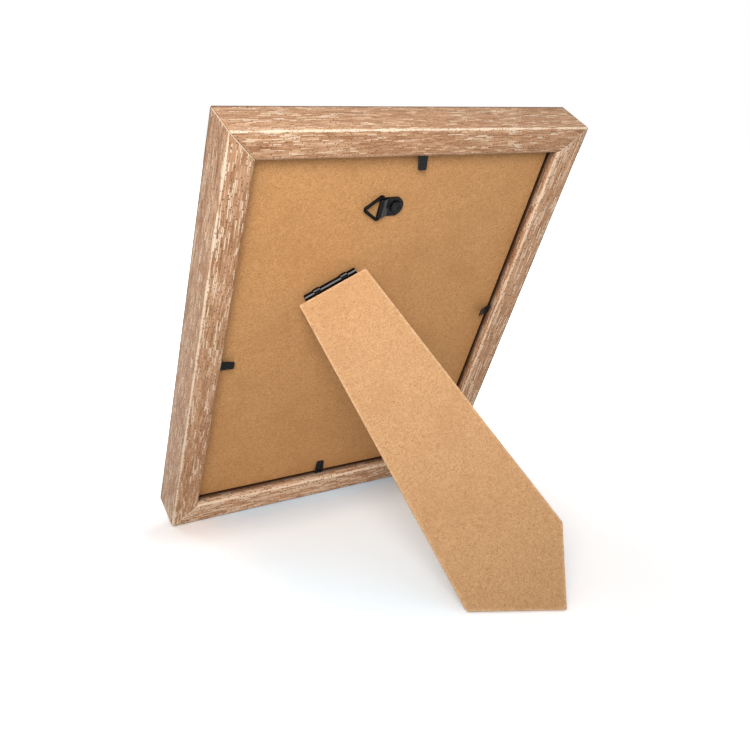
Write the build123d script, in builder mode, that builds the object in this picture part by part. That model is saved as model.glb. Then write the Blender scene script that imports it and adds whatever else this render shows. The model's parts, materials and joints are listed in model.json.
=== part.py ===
from build123d import *
import os
from math import acos, asin, atan2, cos, degrees, hypot, radians, sin, sqrt, tan

# Easel back photo frame, standing in portrait on its lower back edge and on its strut leg.
# Millimetres. +Z is up, the picture faces -Y, the back and the leg face +Y.
# Places on the back are given across it (to the right as seen from behind), up it and out of it.

# Picture, rails and the layers that lie in the rabbet
picture_width = 152.4
picture_height = 203.2
picture_gap = 1.5
rail_width = 13.3
rail_depth = 21.2
lip_width = 5.0
sight_bevel = 3.0
back_arris = 0.8
inner_arris = 1.8
front_arris = 0.6
recess = 6.5
panel_thickness = 3.0
insert_thickness = 0.6
glass_thickness = 2.0
panel_gap = 0.6
glass_gap = 0.7

# Corner nails, sunk below the back of the rails
nail_leg = 6.0
nail_thickness = 0.6
nail_height = 9.0
nail_cover = 2.0
nail_place = 6.0

# Strut leg and where its hinge stands on the back, below the hanger
hinge_across = -26.8
hinge_drop = 40.9
hinge_tilt = 30.1
leg_angle = 61.8
leg_thickness = 2.5
leg_top_width = 36.0
leg_top_gap = 0.24
leg_offset = 0.75
foot_inset = 1.4
foot_side_gap = 0.9
foot_length = 43.8
foot_rise = 37.8
foot_round = 1.8
leg_arris = 0.35
fold_gap = 0.2

# Hinge of the leg
hinge_length = 27.4
knuckle_radius = 1.9
eye_clearance = 0.1
pin_radius = 1.15
pin_clearance = 0.05
leaf_thickness = 0.8
leaf_drop = 13.0
leaf_notch = 2.4
knuckle_gap = 0.12
heel_reach = 1.4
heel_thickness = 0.7
stop_gap = 0.04
knuckle_end_shares = (0.163, 0.29, 0.70, 0.82)

# Rivets of the hinge leaves
leaf_rivet_radius = 1.2
leaf_rivet_head = 2.2
leaf_rivet_rise = 0.45
leaf_rivet_flare = 1.9
leaf_rivet_spacing = 16.0
leaf_rivet_drop = 8.0
leg_rivet_depth = 1.8
rivet_fit = 0.02

# Strap hanger, below the top rail
hanger_across = -2.1
hanger_drop = 28.2
strap_width = 9.5
strap_thickness = 0.5
strap_reach = 8.0
strap_end = 3.9
strap_nose = 3.4
strap_ramp = 3.0
strap_lift = 0.05
hanger_rivet_radius = 1.5
hanger_rivet_head = 3.0
hanger_rivet_rise = 1.0
hanger_rivet_flare = 2.3
hanger_rivet_edge = 0.35
flare_thickness = 0.4
washer_radius = 3.2
washer_thickness = 0.4
turn_clearance = 0.05

# Wire ring of the hanger, which friction holds a little way off the back panel
wire_radius = 0.78
ring_height = 9.4
ring_bend = 1.1
ring_clearance = 0.1
ring_side_gap = 0.2
ring_rest_gap = 1.4
ring_press_gap = 0.15
ring_swing = 150.0

# Flexible tabs, each bent off the back panel by its own angle or pressed on it
tab_width = 5.2
tab_tip_width = 4.4
tab_thickness = 0.6
tab_length = 7.6
tab_tip_round = 0.8
tab_rise = 1.4
tab_press_gap = 0.1
tab_raised = 75.0
tang_depth = 8.0
tang_fit = 0.02
bend_out = 0.9
bend_gap = 0.05
top_tab_shift = -4.3
bottom_tab_shift = -3.4
left_tab_shift = 8.4
right_tab_shift = 6.0
top_tab_lift = 18.5
left_tab_lift = 5.0
right_tab_lift = 22.0

# How far cuts run past the stock
overrun = 5.0

# Sizes that follow from these
opening_width = picture_width + 2 * picture_gap
opening_height = picture_height + 2 * picture_gap
frame_width = opening_width + 2 * rail_width
frame_height = opening_height + 2 * rail_width
rabbet_depth = recess + panel_thickness + insert_thickness + glass_thickness
hanger_up = frame_height - rail_width - hanger_drop
hinge_up = hanger_up - hinge_drop
eye_radius = knuckle_radius - eye_clearance
knuckle_bore = pin_radius + pin_clearance
loop_bore = wire_radius + ring_clearance
loop_radius = loop_bore + strap_thickness
leg_top_drop = sqrt((knuckle_radius + leg_top_gap) ** 2 - leg_offset**2)
tab_level = tab_rise - recess
tab_pressed = -degrees(asin((tab_rise - tab_thickness / 2 - tab_press_gap) / tab_length))

# The leg turns about the middle of the pin, whose knuckles lie on the back panel
slant = radians(hinge_tilt)
opened = radians(leg_angle)
axis_out = knuckle_radius - recess


def on_slant(across, up):
    """Turn a place on the back into one along the hinge and down from it."""
    right = across - hinge_across
    down = hinge_up - up
    return right * cos(slant) - down * sin(slant), right * sin(slant) + down * cos(slant)


def off_slant(along, drop):
    """Turn a place along the hinge and down from it into one on the back."""
    across = hinge_across + along * cos(slant) + drop * sin(slant)
    up = hinge_up + along * sin(slant) - drop * cos(slant)
    return across, up


def opened_place(along, drop, offset):
    """Give the height up the back and the distance out of it of a point on the open leg."""
    up = hinge_up + along * sin(slant) - cos(slant) * (drop * cos(opened) - offset * sin(opened))
    out = axis_out + drop * sin(opened) + offset * cos(opened)
    return up, out


# The frame leans until its rounded lower back edge and the leg's foot meet the same floor
foot_side = opening_width / 2 - foot_side_gap
toe_along, toe_drop = on_slant(foot_side, foot_inset)
toe_up, toe_out = opened_place(toe_along, toe_drop, leg_offset)
toe_turn = atan2(toe_out + back_arris, toe_up - back_arris)
lean = acos(-back_arris / hypot(toe_up - back_arris, toe_out + back_arris)) - toe_turn
floor_level = back_arris * (cos(lean) + sin(lean) - 1)

# The foot's edge is cut along the floor
floor_run = cos(lean) * cos(slant) * cos(opened) + sin(lean) * sin(opened)
foot_slope = atan2(cos(lean) * sin(slant), floor_run)
heel_along = toe_along - foot_length * cos(foot_slope)
heel_drop = toe_drop - foot_length * sin(foot_slope)
knee_along, knee_drop = on_slant(foot_side, foot_inset + foot_rise)

# The footprint is centred on the origin
far_up, far_out = opened_place(toe_along, toe_drop, leg_offset + leg_thickness)
rear_reach = far_up * sin(lean) + far_out * cos(lean)
front_reach = front_arris * (sin(lean) + cos(lean) - 1) - rail_depth * cos(lean)
back_origin = (0, -(rear_reach + front_reach) / 2, -floor_level)
back = Plane(back_origin, x_dir=(-1, 0, 0), z_dir=(0, cos(lean), -sin(lean)))

# Folded, the leg's left edge comes to rest over the lower rail
_, heel_up = off_slant(heel_along, heel_drop)
_, top_up = off_slant(-leg_top_width / 2, leg_top_drop)
edge_share = (top_up - rail_width) / (top_up - heel_up)
rest_drop = leg_top_drop + edge_share * (heel_drop - leg_top_drop)
rest_angle = asin((fold_gap - axis_out) / hypot(rest_drop, leg_offset)) - atan2(leg_offset, rest_drop)
fold_travel = leg_angle - degrees(rest_angle)


def spot(across, up, out):
    return back.from_local_coords((across, up, out))


def heading(across, up, out):
    return spot(across, up, out) - back.origin


def save(piece, name):
    piece.part.label = name
    export_step(piece.part, f"parts/{name}.step")


os.makedirs("parts", exist_ok=True)

# Planes of the hinge: shut and open, each with X along the pin, then the profiles seen along it
pin_middle = spot(hinge_across, hinge_up, axis_out)
pin_direction = heading(cos(slant), sin(slant), 0)
down_back = heading(sin(slant), -cos(slant), 0)
back_normal = heading(0, 0, 1)
down_leg = down_back * cos(opened) + back_normal * sin(opened)
leg_normal = back_normal * cos(opened) - down_back * sin(opened)
board_plane = Plane(pin_middle, x_dir=pin_direction, z_dir=back_normal)
leg_plane = Plane(pin_middle, x_dir=pin_direction, z_dir=leg_normal)
board_profile = Plane(pin_middle, x_dir=down_back, z_dir=pin_direction * -1)
leg_profile = Plane(pin_middle, x_dir=down_leg, z_dir=pin_direction * -1)

# Each side of the frame: inward direction, length of its rail, and its tab's place along it and angle
sides = {
    "top": ((0, -1), frame_width, top_tab_shift, top_tab_lift),
    "bottom": ((0, 1), frame_width, bottom_tab_shift, tab_pressed),
    "left": ((1, 0), frame_height, left_tab_shift, left_tab_lift),
    "right": ((-1, 0), frame_height, right_tab_shift, right_tab_lift),
}


def side_plane(inward):
    """Plane on a rail's outer back edge: X along the rail, Y inward, Z out of the back."""
    across = -inward[0] * frame_width / 2
    up = frame_height / 2 - inward[1] * frame_height / 2
    along = heading(inward[1], -inward[0], 0)
    return Plane(spot(across, up, 0), x_dir=along, z_dir=back_normal)


def make_rail(name, inward, length, tab_shift):
    plane = side_plane(inward)
    lip_edge = rail_width + lip_width
    with BuildPart() as rail:
        # Moulding profile, across the rail and out of the back
        with BuildSketch(Plane(plane.origin, x_dir=plane.y_dir, z_dir=plane.x_dir)) as profile:
            with BuildLine():
                Polyline(
                    (0, 0),
                    (rail_width, 0),
                    (rail_width, -rabbet_depth),
                    (lip_edge, -rabbet_depth),
                    (lip_edge, sight_bevel - rail_depth),
                    (lip_edge - sight_bevel, -rail_depth),
                    (0, -rail_depth),
                    close=True,
                )
            make_face()
            fillet(profile.vertices().group_by(Axis.Y)[-1].sort_by(Axis.X)[-1], inner_arris)
            fillet(profile.vertices().group_by(Axis.Y)[-1].sort_by(Axis.X)[0], back_arris)
            fillet(profile.vertices().group_by(Axis.Y)[0].sort_by(Axis.X)[0], front_arris)
        extrude(amount=length / 2, both=True)
        # Mitred ends
        for end in (-1, 1):
            corner = plane.from_local_coords((end * length / 2, 0, 0))
            mitre = Plane(corner, z_dir=plane.y_dir + plane.x_dir * end)
            split(bisect_by=mitre, keep=Keep.BOTTOM)
        # Slots of the corner nails
        with BuildSketch(plane.offset(-nail_cover)):
            for end in (-1, 1):
                middle = length / 2 - nail_place - nail_leg / 2
                with Locations((end * middle, nail_place)):
                    Rectangle(nail_leg + nail_thickness + 2 * tang_fit, nail_thickness + 2 * tang_fit)
        extrude(amount=-nail_height, mode=Mode.SUBTRACT)
        # Slot of the tab's tang
        slot_floor = tab_level - tab_thickness / 2 - tang_fit
        with BuildSketch(plane.offset(slot_floor)):
            with Locations((tab_shift, rail_width - tang_depth - tang_fit)):
                Rectangle(tab_width + 2 * tang_fit, tang_depth + overrun, align=(Align.CENTER, Align.MIN))
        extrude(amount=tab_thickness + 2 * tang_fit, mode=Mode.SUBTRACT)
    save(rail, f"rail_{name}")


def bend_point(plane, tab_shift):
    return plane.from_local_coords((tab_shift, rail_width + bend_out, tab_level))


def make_tab(name, inward, tab_shift, tab_lift):
    plane = side_plane(inward)
    # Tang, driven into the rail
    with BuildPart() as tang:
        tang_length = tang_depth + bend_out - tab_thickness / 2 - bend_gap
        with BuildSketch(plane.offset(tab_level - tab_thickness / 2)):
            with Locations((tab_shift, rail_width - tang_depth)):
                Rectangle(tab_width, tang_length, align=(Align.CENTER, Align.MIN))
        extrude(amount=tab_thickness)
    save(tang, f"tab_tang_{name}")
    # Blade, with a round root that turns about its bending line
    lifted = radians(tab_lift)
    outward = plane.z_dir * cos(lifted) - plane.y_dir * sin(lifted)
    blade_plane = Plane(bend_point(plane, tab_shift), x_dir=plane.x_dir, z_dir=outward)
    with BuildPart() as blade:
        with BuildSketch(Plane(blade_plane.origin, x_dir=blade_plane.y_dir, z_dir=blade_plane.x_dir)):
            Circle(tab_thickness / 2)
            Rectangle(tab_length, tab_thickness, align=(Align.MIN, Align.CENTER))
        extrude(amount=tab_width / 2, both=True)
        with BuildSketch(blade_plane.offset(-tab_thickness)) as outline:
            with BuildLine():
                Polyline(
                    (-tab_width / 2, -tab_thickness),
                    (tab_width / 2, -tab_thickness),
                    (tab_tip_width / 2, tab_length),
                    (-tab_tip_width / 2, tab_length),
                    close=True,
                )
            make_face()
            fillet(outline.vertices().group_by(Axis.Y)[-1], tab_tip_round)
        extrude(amount=2 * tab_thickness, mode=Mode.INTERSECT)
    save(blade, f"tab_blade_{name}")


for side, (inward, length, tab_shift, tab_lift) in sides.items():
    make_rail(side, inward, length, tab_shift)
    make_tab(side, inward, tab_shift, tab_lift)

# Corner nails: one angle in each mitre, with a leg along either rail
with BuildPart() as corner_nails:
    with BuildSketch(back.offset(-nail_cover)):
        for right in (-1, 1):
            for top in (-1, 1):
                bend_across = right * (frame_width / 2 - nail_place)
                bend_up = frame_height / 2 + top * (frame_height / 2 - nail_place)
                with Locations((bend_across - right * nail_leg / 2, bend_up)):
                    Rectangle(nail_leg + nail_thickness, nail_thickness)
                with Locations((bend_across, bend_up - top * nail_leg / 2)):
                    Rectangle(nail_thickness, nail_leg + nail_thickness)
    extrude(amount=-nail_height)
save(corner_nails, "corner_nails")

# Places of the rivets on the back panel and along the hinge
rivet_places = [(end * leaf_rivet_spacing / 2, leaf_rivet_drop) for end in (-1, 1)]
panel_middle = frame_height / 2

# Back panel, drilled from its inner side so that flares and washer lie below its face
panel_inside = Plane(
    spot(0, panel_middle, -recess - panel_thickness),
    x_dir=heading(1, 0, 0),
    z_dir=back_normal * -1,
)
with BuildPart(panel_inside) as back_panel:
    with BuildSketch(panel_inside):
        Rectangle(opening_width - 2 * panel_gap, opening_height - 2 * panel_gap)
    extrude(amount=-panel_thickness)
    for along, drop in rivet_places:
        across, up = off_slant(along, drop)
        with Locations((across, panel_middle - up)):
            CounterBoreHole(leaf_rivet_radius + rivet_fit, leaf_rivet_flare + rivet_fit, flare_thickness)
    with Locations((hanger_across, panel_middle - hanger_up)):
        washer_bed = washer_thickness + flare_thickness
        CounterBoreHole(hanger_rivet_radius + rivet_fit, washer_radius + rivet_fit, washer_bed)
save(back_panel, "back_panel")

# Card in the picture's place
insert_face = -recess - panel_thickness
with BuildPart() as photo_insert:
    with BuildSketch(back.offset(insert_face)):
        with Locations((0, panel_middle)):
            Rectangle(picture_width, picture_height)
    extrude(amount=-insert_thickness)
save(photo_insert, "photo_insert")

# Glass
with BuildPart() as glass_pane:
    with BuildSketch(back.offset(insert_face - insert_thickness)):
        with Locations((0, panel_middle)):
            Rectangle(opening_width - 2 * glass_gap, opening_height - 2 * glass_gap)
    extrude(amount=-glass_thickness)
save(glass_pane, "glass_pane")

# Strut leg, drawn along the hinge and down from it
leg_outward = Axis(leg_plane.origin, leg_plane.z_dir)
with BuildPart() as easel_leg:
    with BuildSketch(leg_plane.offset(leg_offset)) as outline:
        with BuildLine():
            Polyline(
                (-leg_top_width / 2, -leg_top_drop),
                (leg_top_width / 2, -leg_top_drop),
                (knee_along, -knee_drop),
                (toe_along, -toe_drop),
                (heel_along, -heel_drop),
                close=True,
            )
        make_face()
        fillet(outline.vertices().sort_by_distance((heel_along, -heel_drop))[0], foot_round)
        fillet(outline.vertices().sort_by_distance((knee_along, -knee_drop))[0], foot_round)
    extrude(amount=leg_thickness)
    chamfer(easel_leg.faces().sort_by(leg_outward)[-1].edges(), leg_arris)
    with BuildSketch(leg_plane.offset(leg_offset)):
        for along, drop in rivet_places:
            with Locations((along, -drop)):
                Circle(leaf_rivet_radius + rivet_fit)
    extrude(amount=leg_rivet_depth + rivet_fit, mode=Mode.SUBTRACT)
save(easel_leg, "easel_leg")

# Where each leaf's knuckles begin and end, to the left of the pin's middle as seen from behind
half_hinge = hinge_length / 2
knuckle_ends = [half_hinge - hinge_length * share for share in knuckle_end_shares]
first_end, second_end, third_end, fourth_end = knuckle_ends
board_knuckles = [
    (first_end + knuckle_gap, half_hinge),
    (third_end + knuckle_gap, second_end - knuckle_gap),
    (-half_hinge, fourth_end - knuckle_gap),
]
leg_knuckles = [(second_end, first_end), (fourth_end, third_end)]

# Leaf on the back panel
with BuildPart() as hinge_board_leaf:
    with BuildSketch(board_profile):
        with Locations((leaf_notch, -knuckle_radius)):
            Rectangle(leaf_drop - leaf_notch, leaf_thickness, align=Align.MIN)
    extrude(amount=half_hinge, both=True)
    for start, end in board_knuckles:
        with BuildSketch(board_profile.offset(start)):
            Circle(knuckle_radius)
            with Locations((0, -knuckle_radius)):
                Rectangle(leaf_notch, leaf_thickness, align=Align.MIN)
            Circle(knuckle_bore, mode=Mode.SUBTRACT)
        extrude(amount=end - start)
    with BuildSketch(board_plane.offset(-knuckle_radius)):
        for along, drop in rivet_places:
            with Locations((along, -drop)):
                Circle(leaf_rivet_radius + rivet_fit)
    extrude(amount=leaf_thickness, mode=Mode.SUBTRACT)
save(hinge_board_leaf, "hinge_board_leaf")

# Leaf on the leg, whose knuckles carry the heels that meet the back panel when the leg is open
leaf_underside = leg_offset - leaf_thickness
heel_floor = stop_gap - knuckle_radius
with BuildPart() as hinge_leg_leaf:
    with BuildSketch(leg_profile):
        with Locations((leaf_notch, leaf_underside)):
            Rectangle(leaf_drop - leaf_notch, leaf_thickness, align=Align.MIN)
    extrude(amount=half_hinge, both=True)
    for start, end in leg_knuckles:
        with BuildSketch(leg_profile.offset(start)):
            Circle(eye_radius)
            with Locations((0, leaf_underside)):
                Rectangle(leaf_notch, leaf_thickness, align=Align.MIN)
        extrude(amount=end - start)
        with BuildSketch(board_profile.offset(start)):
            with BuildLine():
                Polyline(
                    (0, heel_floor),
                    (-heel_reach, heel_floor),
                    (-heel_reach, heel_floor + heel_thickness),
                    (0, eye_radius),
                    close=True,
                )
            make_face()
        extrude(amount=end - start)
    with BuildSketch(leg_profile):
        Circle(knuckle_bore)
    extrude(amount=half_hinge, both=True, mode=Mode.SUBTRACT)
    with BuildSketch(leg_plane.offset(leaf_underside)):
        for along, drop in rivet_places:
            with Locations((along, -drop)):
                Circle(leaf_rivet_radius + rivet_fit)
    extrude(amount=leaf_thickness, mode=Mode.SUBTRACT)
save(hinge_leg_leaf, "hinge_leg_leaf")

# Pin
with BuildPart() as hinge_pin:
    with BuildSketch(board_profile):
        Circle(pin_radius)
    extrude(amount=half_hinge, both=True)
save(hinge_pin, "hinge_pin")

# Rivets of the leaf on the back panel: head, shank and flare
panel_plane = board_plane.offset(-knuckle_radius)
with BuildPart() as hinge_board_rivets:
    for along, drop in rivet_places:
        with BuildSketch(panel_plane.offset(leaf_thickness)):
            with Locations((along, -drop)):
                Circle(leaf_rivet_head)
        extrude(amount=leaf_rivet_rise)
        with BuildSketch(panel_plane.offset(leaf_thickness)):
            with Locations((along, -drop)):
                Circle(leaf_rivet_radius)
        extrude(amount=-leaf_thickness - panel_thickness)
        with BuildSketch(panel_plane.offset(-panel_thickness)):
            with Locations((along, -drop)):
                Circle(leaf_rivet_flare)
        extrude(amount=flare_thickness)
save(hinge_board_rivets, "hinge_board_rivets")

# Rivets of the leaf on the leg, which end inside it
with BuildPart() as hinge_leg_rivets:
    for along, drop in rivet_places:
        with BuildSketch(leg_plane.offset(leaf_underside)):
            with Locations((along, -drop)):
                Circle(leaf_rivet_head)
        extrude(amount=-leaf_rivet_rise)
        with BuildSketch(leg_plane.offset(leaf_underside)):
            with Locations((along, -drop)):
                Circle(leaf_rivet_radius)
        extrude(amount=leaf_thickness + leg_rivet_depth)
save(hinge_leg_rivets, "hinge_leg_rivets")

# Hanger: X across the back, with the strap reaching to the left of its rivet
strap_floor = spot(hanger_across, hanger_up, strap_lift - recess)
hanger_plane = Plane(strap_floor, x_dir=heading(1, 0, 0), z_dir=back_normal)
strap_side = Plane(strap_floor, x_dir=heading(1, 0, 0), z_dir=heading(0, -1, 0))
strap_top = 2 * strap_thickness
with BuildPart() as hanger_strap:
    # Folded strip, with the loop of the fold round the ring's bar
    with BuildSketch(strap_side):
        with Locations((-strap_reach, 0)):
            Rectangle(strap_reach + strap_end, strap_top, align=Align.MIN)
        with Locations((-strap_reach, loop_radius)):
            Circle(loop_radius)
        with BuildLine():
            Polyline(
                (-strap_reach, 0),
                (strap_ramp - strap_reach, 0),
                (strap_ramp - strap_reach, strap_top),
                (-strap_reach, 2 * loop_radius),
                close=True,
            )
        make_face()
        with Locations((-strap_reach, loop_radius)):
            Circle(loop_bore, mode=Mode.SUBTRACT)
    extrude(amount=strap_width / 2, both=True)
    # Round end
    with BuildSketch(hanger_plane):
        with BuildLine():
            strap_left = -strap_reach - loop_radius - strap_thickness
            nose_start = strap_end - strap_nose
            Polyline(
                (nose_start, strap_width / 2),
                (strap_left, strap_width / 2),
                (strap_left, -strap_width / 2),
                (nose_start, -strap_width / 2),
            )
            ThreePointArc((nose_start, -strap_width / 2), (strap_end, 0), (nose_start, strap_width / 2))
        make_face()
    extrude(amount=3 * loop_radius, mode=Mode.INTERSECT)
    with BuildSketch(hanger_plane):
        Circle(hanger_rivet_radius + turn_clearance)
    extrude(amount=strap_top, mode=Mode.SUBTRACT)
save(hanger_strap, "hanger_strap")

# Ring, bent from wire, with its point standing off the back panel
# Its sides run from the point past the corners of the strap's loop
loop_room = ring_height - loop_radius
corner_angle = atan2(strap_width / 2, loop_room)
pass_angle = asin((wire_radius + ring_side_gap) / hypot(loop_room, strap_width / 2))
ring_base = 2 * ring_height * tan(corner_angle + pass_angle)
loop_out = strap_lift + loop_radius - recess
bar_clear = loop_out + recess - wire_radius
droop = asin((bar_clear - ring_rest_gap) / ring_height)
ring_down = degrees(asin((bar_clear - ring_press_gap) / ring_height) - droop)
ring_plane = Plane(
    spot(hanger_across - strap_reach, hanger_up, loop_out),
    x_dir=heading(-cos(droop), 0, -sin(droop)),
    z_dir=heading(-sin(droop), 0, cos(droop)),
)
with BuildPart() as hanger_ring:
    with BuildLine(ring_plane) as wire:
        FilletPolyline(
            (0, ring_base / 2),
            (ring_height, 0),
            (0, -ring_base / 2),
            radius=ring_bend,
            close=True,
        )
    with BuildSketch(Plane(wire.line @ 0, z_dir=wire.line % 0)):
        Circle(wire_radius)
    sweep()
save(hanger_ring, "hanger_ring")

# Rivet of the hanger, from its flat head to the flare behind the washer
rivet_outward = Axis(hanger_plane.origin, hanger_plane.z_dir)
head_floor = strap_top + strap_lift
panel_face = hanger_plane.offset(-strap_lift)
with BuildPart() as hanger_rivet:
    with BuildSketch(hanger_plane.offset(head_floor)):
        Circle(hanger_rivet_head)
    extrude(amount=hanger_rivet_rise)
    fillet(hanger_rivet.edges().sort_by(rivet_outward)[-1], hanger_rivet_edge)
    with BuildSketch(panel_face.offset(-panel_thickness)):
        Circle(hanger_rivet_radius)
    extrude(amount=panel_thickness + strap_lift + head_floor)
    with BuildSketch(panel_face.offset(-panel_thickness)):
        Circle(hanger_rivet_flare)
    extrude(amount=flare_thickness)
save(hanger_rivet, "hanger_rivet")

# Washer of the hanger's rivet
with BuildPart() as hanger_washer:
    with BuildSketch(panel_face.offset(flare_thickness - panel_thickness)):
        Circle(washer_radius)
        Circle(hanger_rivet_radius + rivet_fit, mode=Mode.SUBTRACT)
    extrude(amount=washer_thickness)
save(hanger_washer, "hanger_washer")

# Facts about the motion, for whoever uses the frame
print(f"outer size {frame_width:.1f} x {frame_height:.1f} x {rail_depth:.1f} mm")
print(f"lean {degrees(lean):.4f} degrees, leg folds by {fold_travel:.3f} degrees")
print(f"ring flips from {-ring_down:.3f} to {ring_swing - ring_down:.3f} degrees")
print(f"ring bar {ring_base:.2f} mm long")
turning_lines = {
    "pin": (pin_middle, pin_direction),
    "hanger rivet": (strap_floor, back_normal),
    "ring bar": (ring_plane.origin, heading(0, 1, 0)),
}
for side, (inward, length, tab_shift, tab_lift) in sides.items():
    plane = side_plane(inward)
    turning_lines[f"tab {side}"] = (bend_point(plane, tab_shift), plane.x_dir)
    print(f"tab {side} bends from {tab_pressed - tab_lift:.3f} to {tab_raised - tab_lift:.3f} degrees")
for name, (point, direction) in turning_lines.items():
    print(f"{name}: {tuple(point)} along {tuple(direction)}")
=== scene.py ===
"""Easel back photo frame: limed rails, fibreboard back, strut leg, strap hanger and bendable tabs."""

import json
from math import asin, atan2, cos, hypot, pi, radians, sin, sqrt, tan

import bmesh
import bpy
from bpy.props import FloatProperty, FloatVectorProperty, IntProperty, PointerProperty
from mathutils import Matrix, Quaternion, Vector


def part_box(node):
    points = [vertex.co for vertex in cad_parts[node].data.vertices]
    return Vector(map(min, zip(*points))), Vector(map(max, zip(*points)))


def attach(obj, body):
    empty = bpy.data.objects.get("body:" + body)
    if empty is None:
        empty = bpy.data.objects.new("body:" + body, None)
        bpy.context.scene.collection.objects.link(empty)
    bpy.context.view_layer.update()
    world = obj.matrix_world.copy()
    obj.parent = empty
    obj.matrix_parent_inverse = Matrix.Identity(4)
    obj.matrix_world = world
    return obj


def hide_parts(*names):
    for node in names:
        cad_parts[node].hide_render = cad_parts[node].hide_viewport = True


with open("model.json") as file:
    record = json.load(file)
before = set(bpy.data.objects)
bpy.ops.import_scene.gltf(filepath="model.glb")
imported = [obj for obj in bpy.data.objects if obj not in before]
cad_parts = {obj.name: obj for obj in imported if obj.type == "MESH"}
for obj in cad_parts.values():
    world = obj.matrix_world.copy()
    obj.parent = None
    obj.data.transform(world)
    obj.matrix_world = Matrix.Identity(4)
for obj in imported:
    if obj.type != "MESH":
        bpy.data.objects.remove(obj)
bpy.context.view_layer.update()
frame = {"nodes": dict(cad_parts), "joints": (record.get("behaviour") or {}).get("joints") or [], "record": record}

bl_info = {
    "name": "Easel back photo frame",
    "version": (1, 0, 0),
    "blender": (4, 5, 0),
    "location": "3D View > Sidebar > Photo frame",
    "description": "Builds a standing photo frame, seen from behind, on its packed parts",
    "category": "Object",
}

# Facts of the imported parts, in metres
MM = 0.001
JOINTS = {joint["name"]: joint for joint in frame["joints"]}
MOUNTS = {mount["name"]: mount for mount in frame["record"]["mounts"]}
SIDES = ("top", "bottom", "left", "right")

# Directions of the back: across it to the right as seen from behind, up it and out of it
OUT = Vector(JOINTS["hanger_turn"]["axis"])
UP = Vector(JOINTS["ring_flip"]["axis"])
ACROSS = UP.cross(OUT)
INWARD = {"top": -UP, "bottom": UP, "left": ACROSS, "right": -ACROSS}

# The pin of the leg's hinge, and the way down the back from it
PIN = Vector(JOINTS["leg_fold"]["pos_m"])
PIN_ALONG = Vector(JOINTS["leg_fold"]["axis"])
DOWN_BACK = PIN_ALONG.cross(OUT)

# Middle of the back, in the plane of the rails' backs
WALL_SPOT = Vector(MOUNTS["wall_face"]["pos_m"])
TOP_TAB = Vector(JOINTS["tab_bend_top"]["pos_m"])
BOTTOM_TAB = Vector(JOINTS["tab_bend_bottom"]["pos_m"])
MIDDLE = WALL_SPOT + UP * ((TOP_TAB + BOTTOM_TAB) / 2 - WALL_SPOT).dot(UP)
OUTER_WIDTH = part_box("rail_top")[1].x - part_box("rail_top")[0].x

# Where the hinge's knuckles end, as shares of its length from its right end
KNUCKLE_SHARES = (0.0, 0.163, 0.29, 0.70, 0.82, 1.0)

# Wear and painted light of each rail: how far it is limed; how strongly its outer back edge is rubbed, a pale line
# that is partly wear and partly a painted highlight, with a painted shade there on the less rubbed rails; how
# strong the painted highlight along its inner back edge is; and how coarse its grain is
RAIL_WEAR_AND_LIGHT = {
    "top": {"Limed": 0.02, "Outer Rub": 1.0, "Inner Rub": 0.2, "Coarseness": 1.0},
    "bottom": {"Limed": 0.22, "Outer Rub": 0.3, "Inner Rub": 1.0, "Coarseness": 1.55},
    "left": {"Limed": 0.04, "Outer Rub": 1.0, "Inner Rub": 0.0, "Coarseness": 1.2},
    "right": {"Limed": 0.12, "Outer Rub": 0.1, "Inner Rub": 0.8, "Coarseness": 1.4},
}

# Patterns of the wood: blotches to a millimetre, along the grain and across it
BROAD_STREAKS = (0.03, 0.45, 0.0)
FINE_STREAKS = (0.11, 2.3, 0.0)
LIME_PATCHES = (0.05, 0.2, 0.0)
RUB_RUNS = (0.08, 0.03, 0.0)
ROW_SWAY = (0.03, 0.06, 0.0)

# Patterns of the other finishes: blotches to a millimetre, and of the glass to a metre
FINE_FIBRES = 2.1
LONG_FIBRES = 0.62
MOTTLING = 0.04
DARK_SPECKS = 0.4
PALE_SPECKS = (0.57, 0.53, 0.55)
ORANGE_PEEL = 2.4
SCUFFS = (0.7, 0.9, 0.5)
BRUSHING = (0.6, 6.0, 6.0)
CARD_TOOTH = 2.0
GLASS_SMEARS = 34.0

# Gloss of the finishes, as the shader's specular level, and the wood's lacquer
WOOD_GLOSS = 0.08
WOOD_COAT = 0.05
WOOD_COAT_ROUGHNESS = 0.12
BOARD_GLOSS = 0.25
CARD_GLOSS = 0.3
PAINT_GLOSS = 0.16
WIRE_GLOSS = 0.06
HINGE_GLOSS = 0.04

# Picture glass
GLASS_TINT = (0.95, 0.985, 0.97, 1.0)
GLASS_IOR = 1.5

# Relief of the finishes, in metres
BOARD_RELIEF = 0.1 * MM
PAINT_RELIEF = 0.012 * MM
STEEL_RELIEF = 0.01 * MM
CARD_RELIEF = 0.03 * MM

# Painted highlight: a thin pale line along the hinge's knuckles, in millimetres: half its width where it starts
# and where it is full, and its distance from the pin there; its strength; its turn from the way up the back, on
# each leaf
HIGHLIGHT_LINE_WIDTH = (0.5, 0.15)
HIGHLIGHT_LINE_HEIGHT = (1.3, 1.6)
HIGHLIGHT_LINE_STRENGTH = 0.6
HIGHLIGHT_LINE_ON_BACK = radians(30)
HIGHLIGHT_LINE_ON_LEG = radians(5)

# Plain colours
BLACK = (0.0, 0.0, 0.0, 1.0)
WHITE = (1.0, 1.0, 1.0, 1.0)

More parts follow.
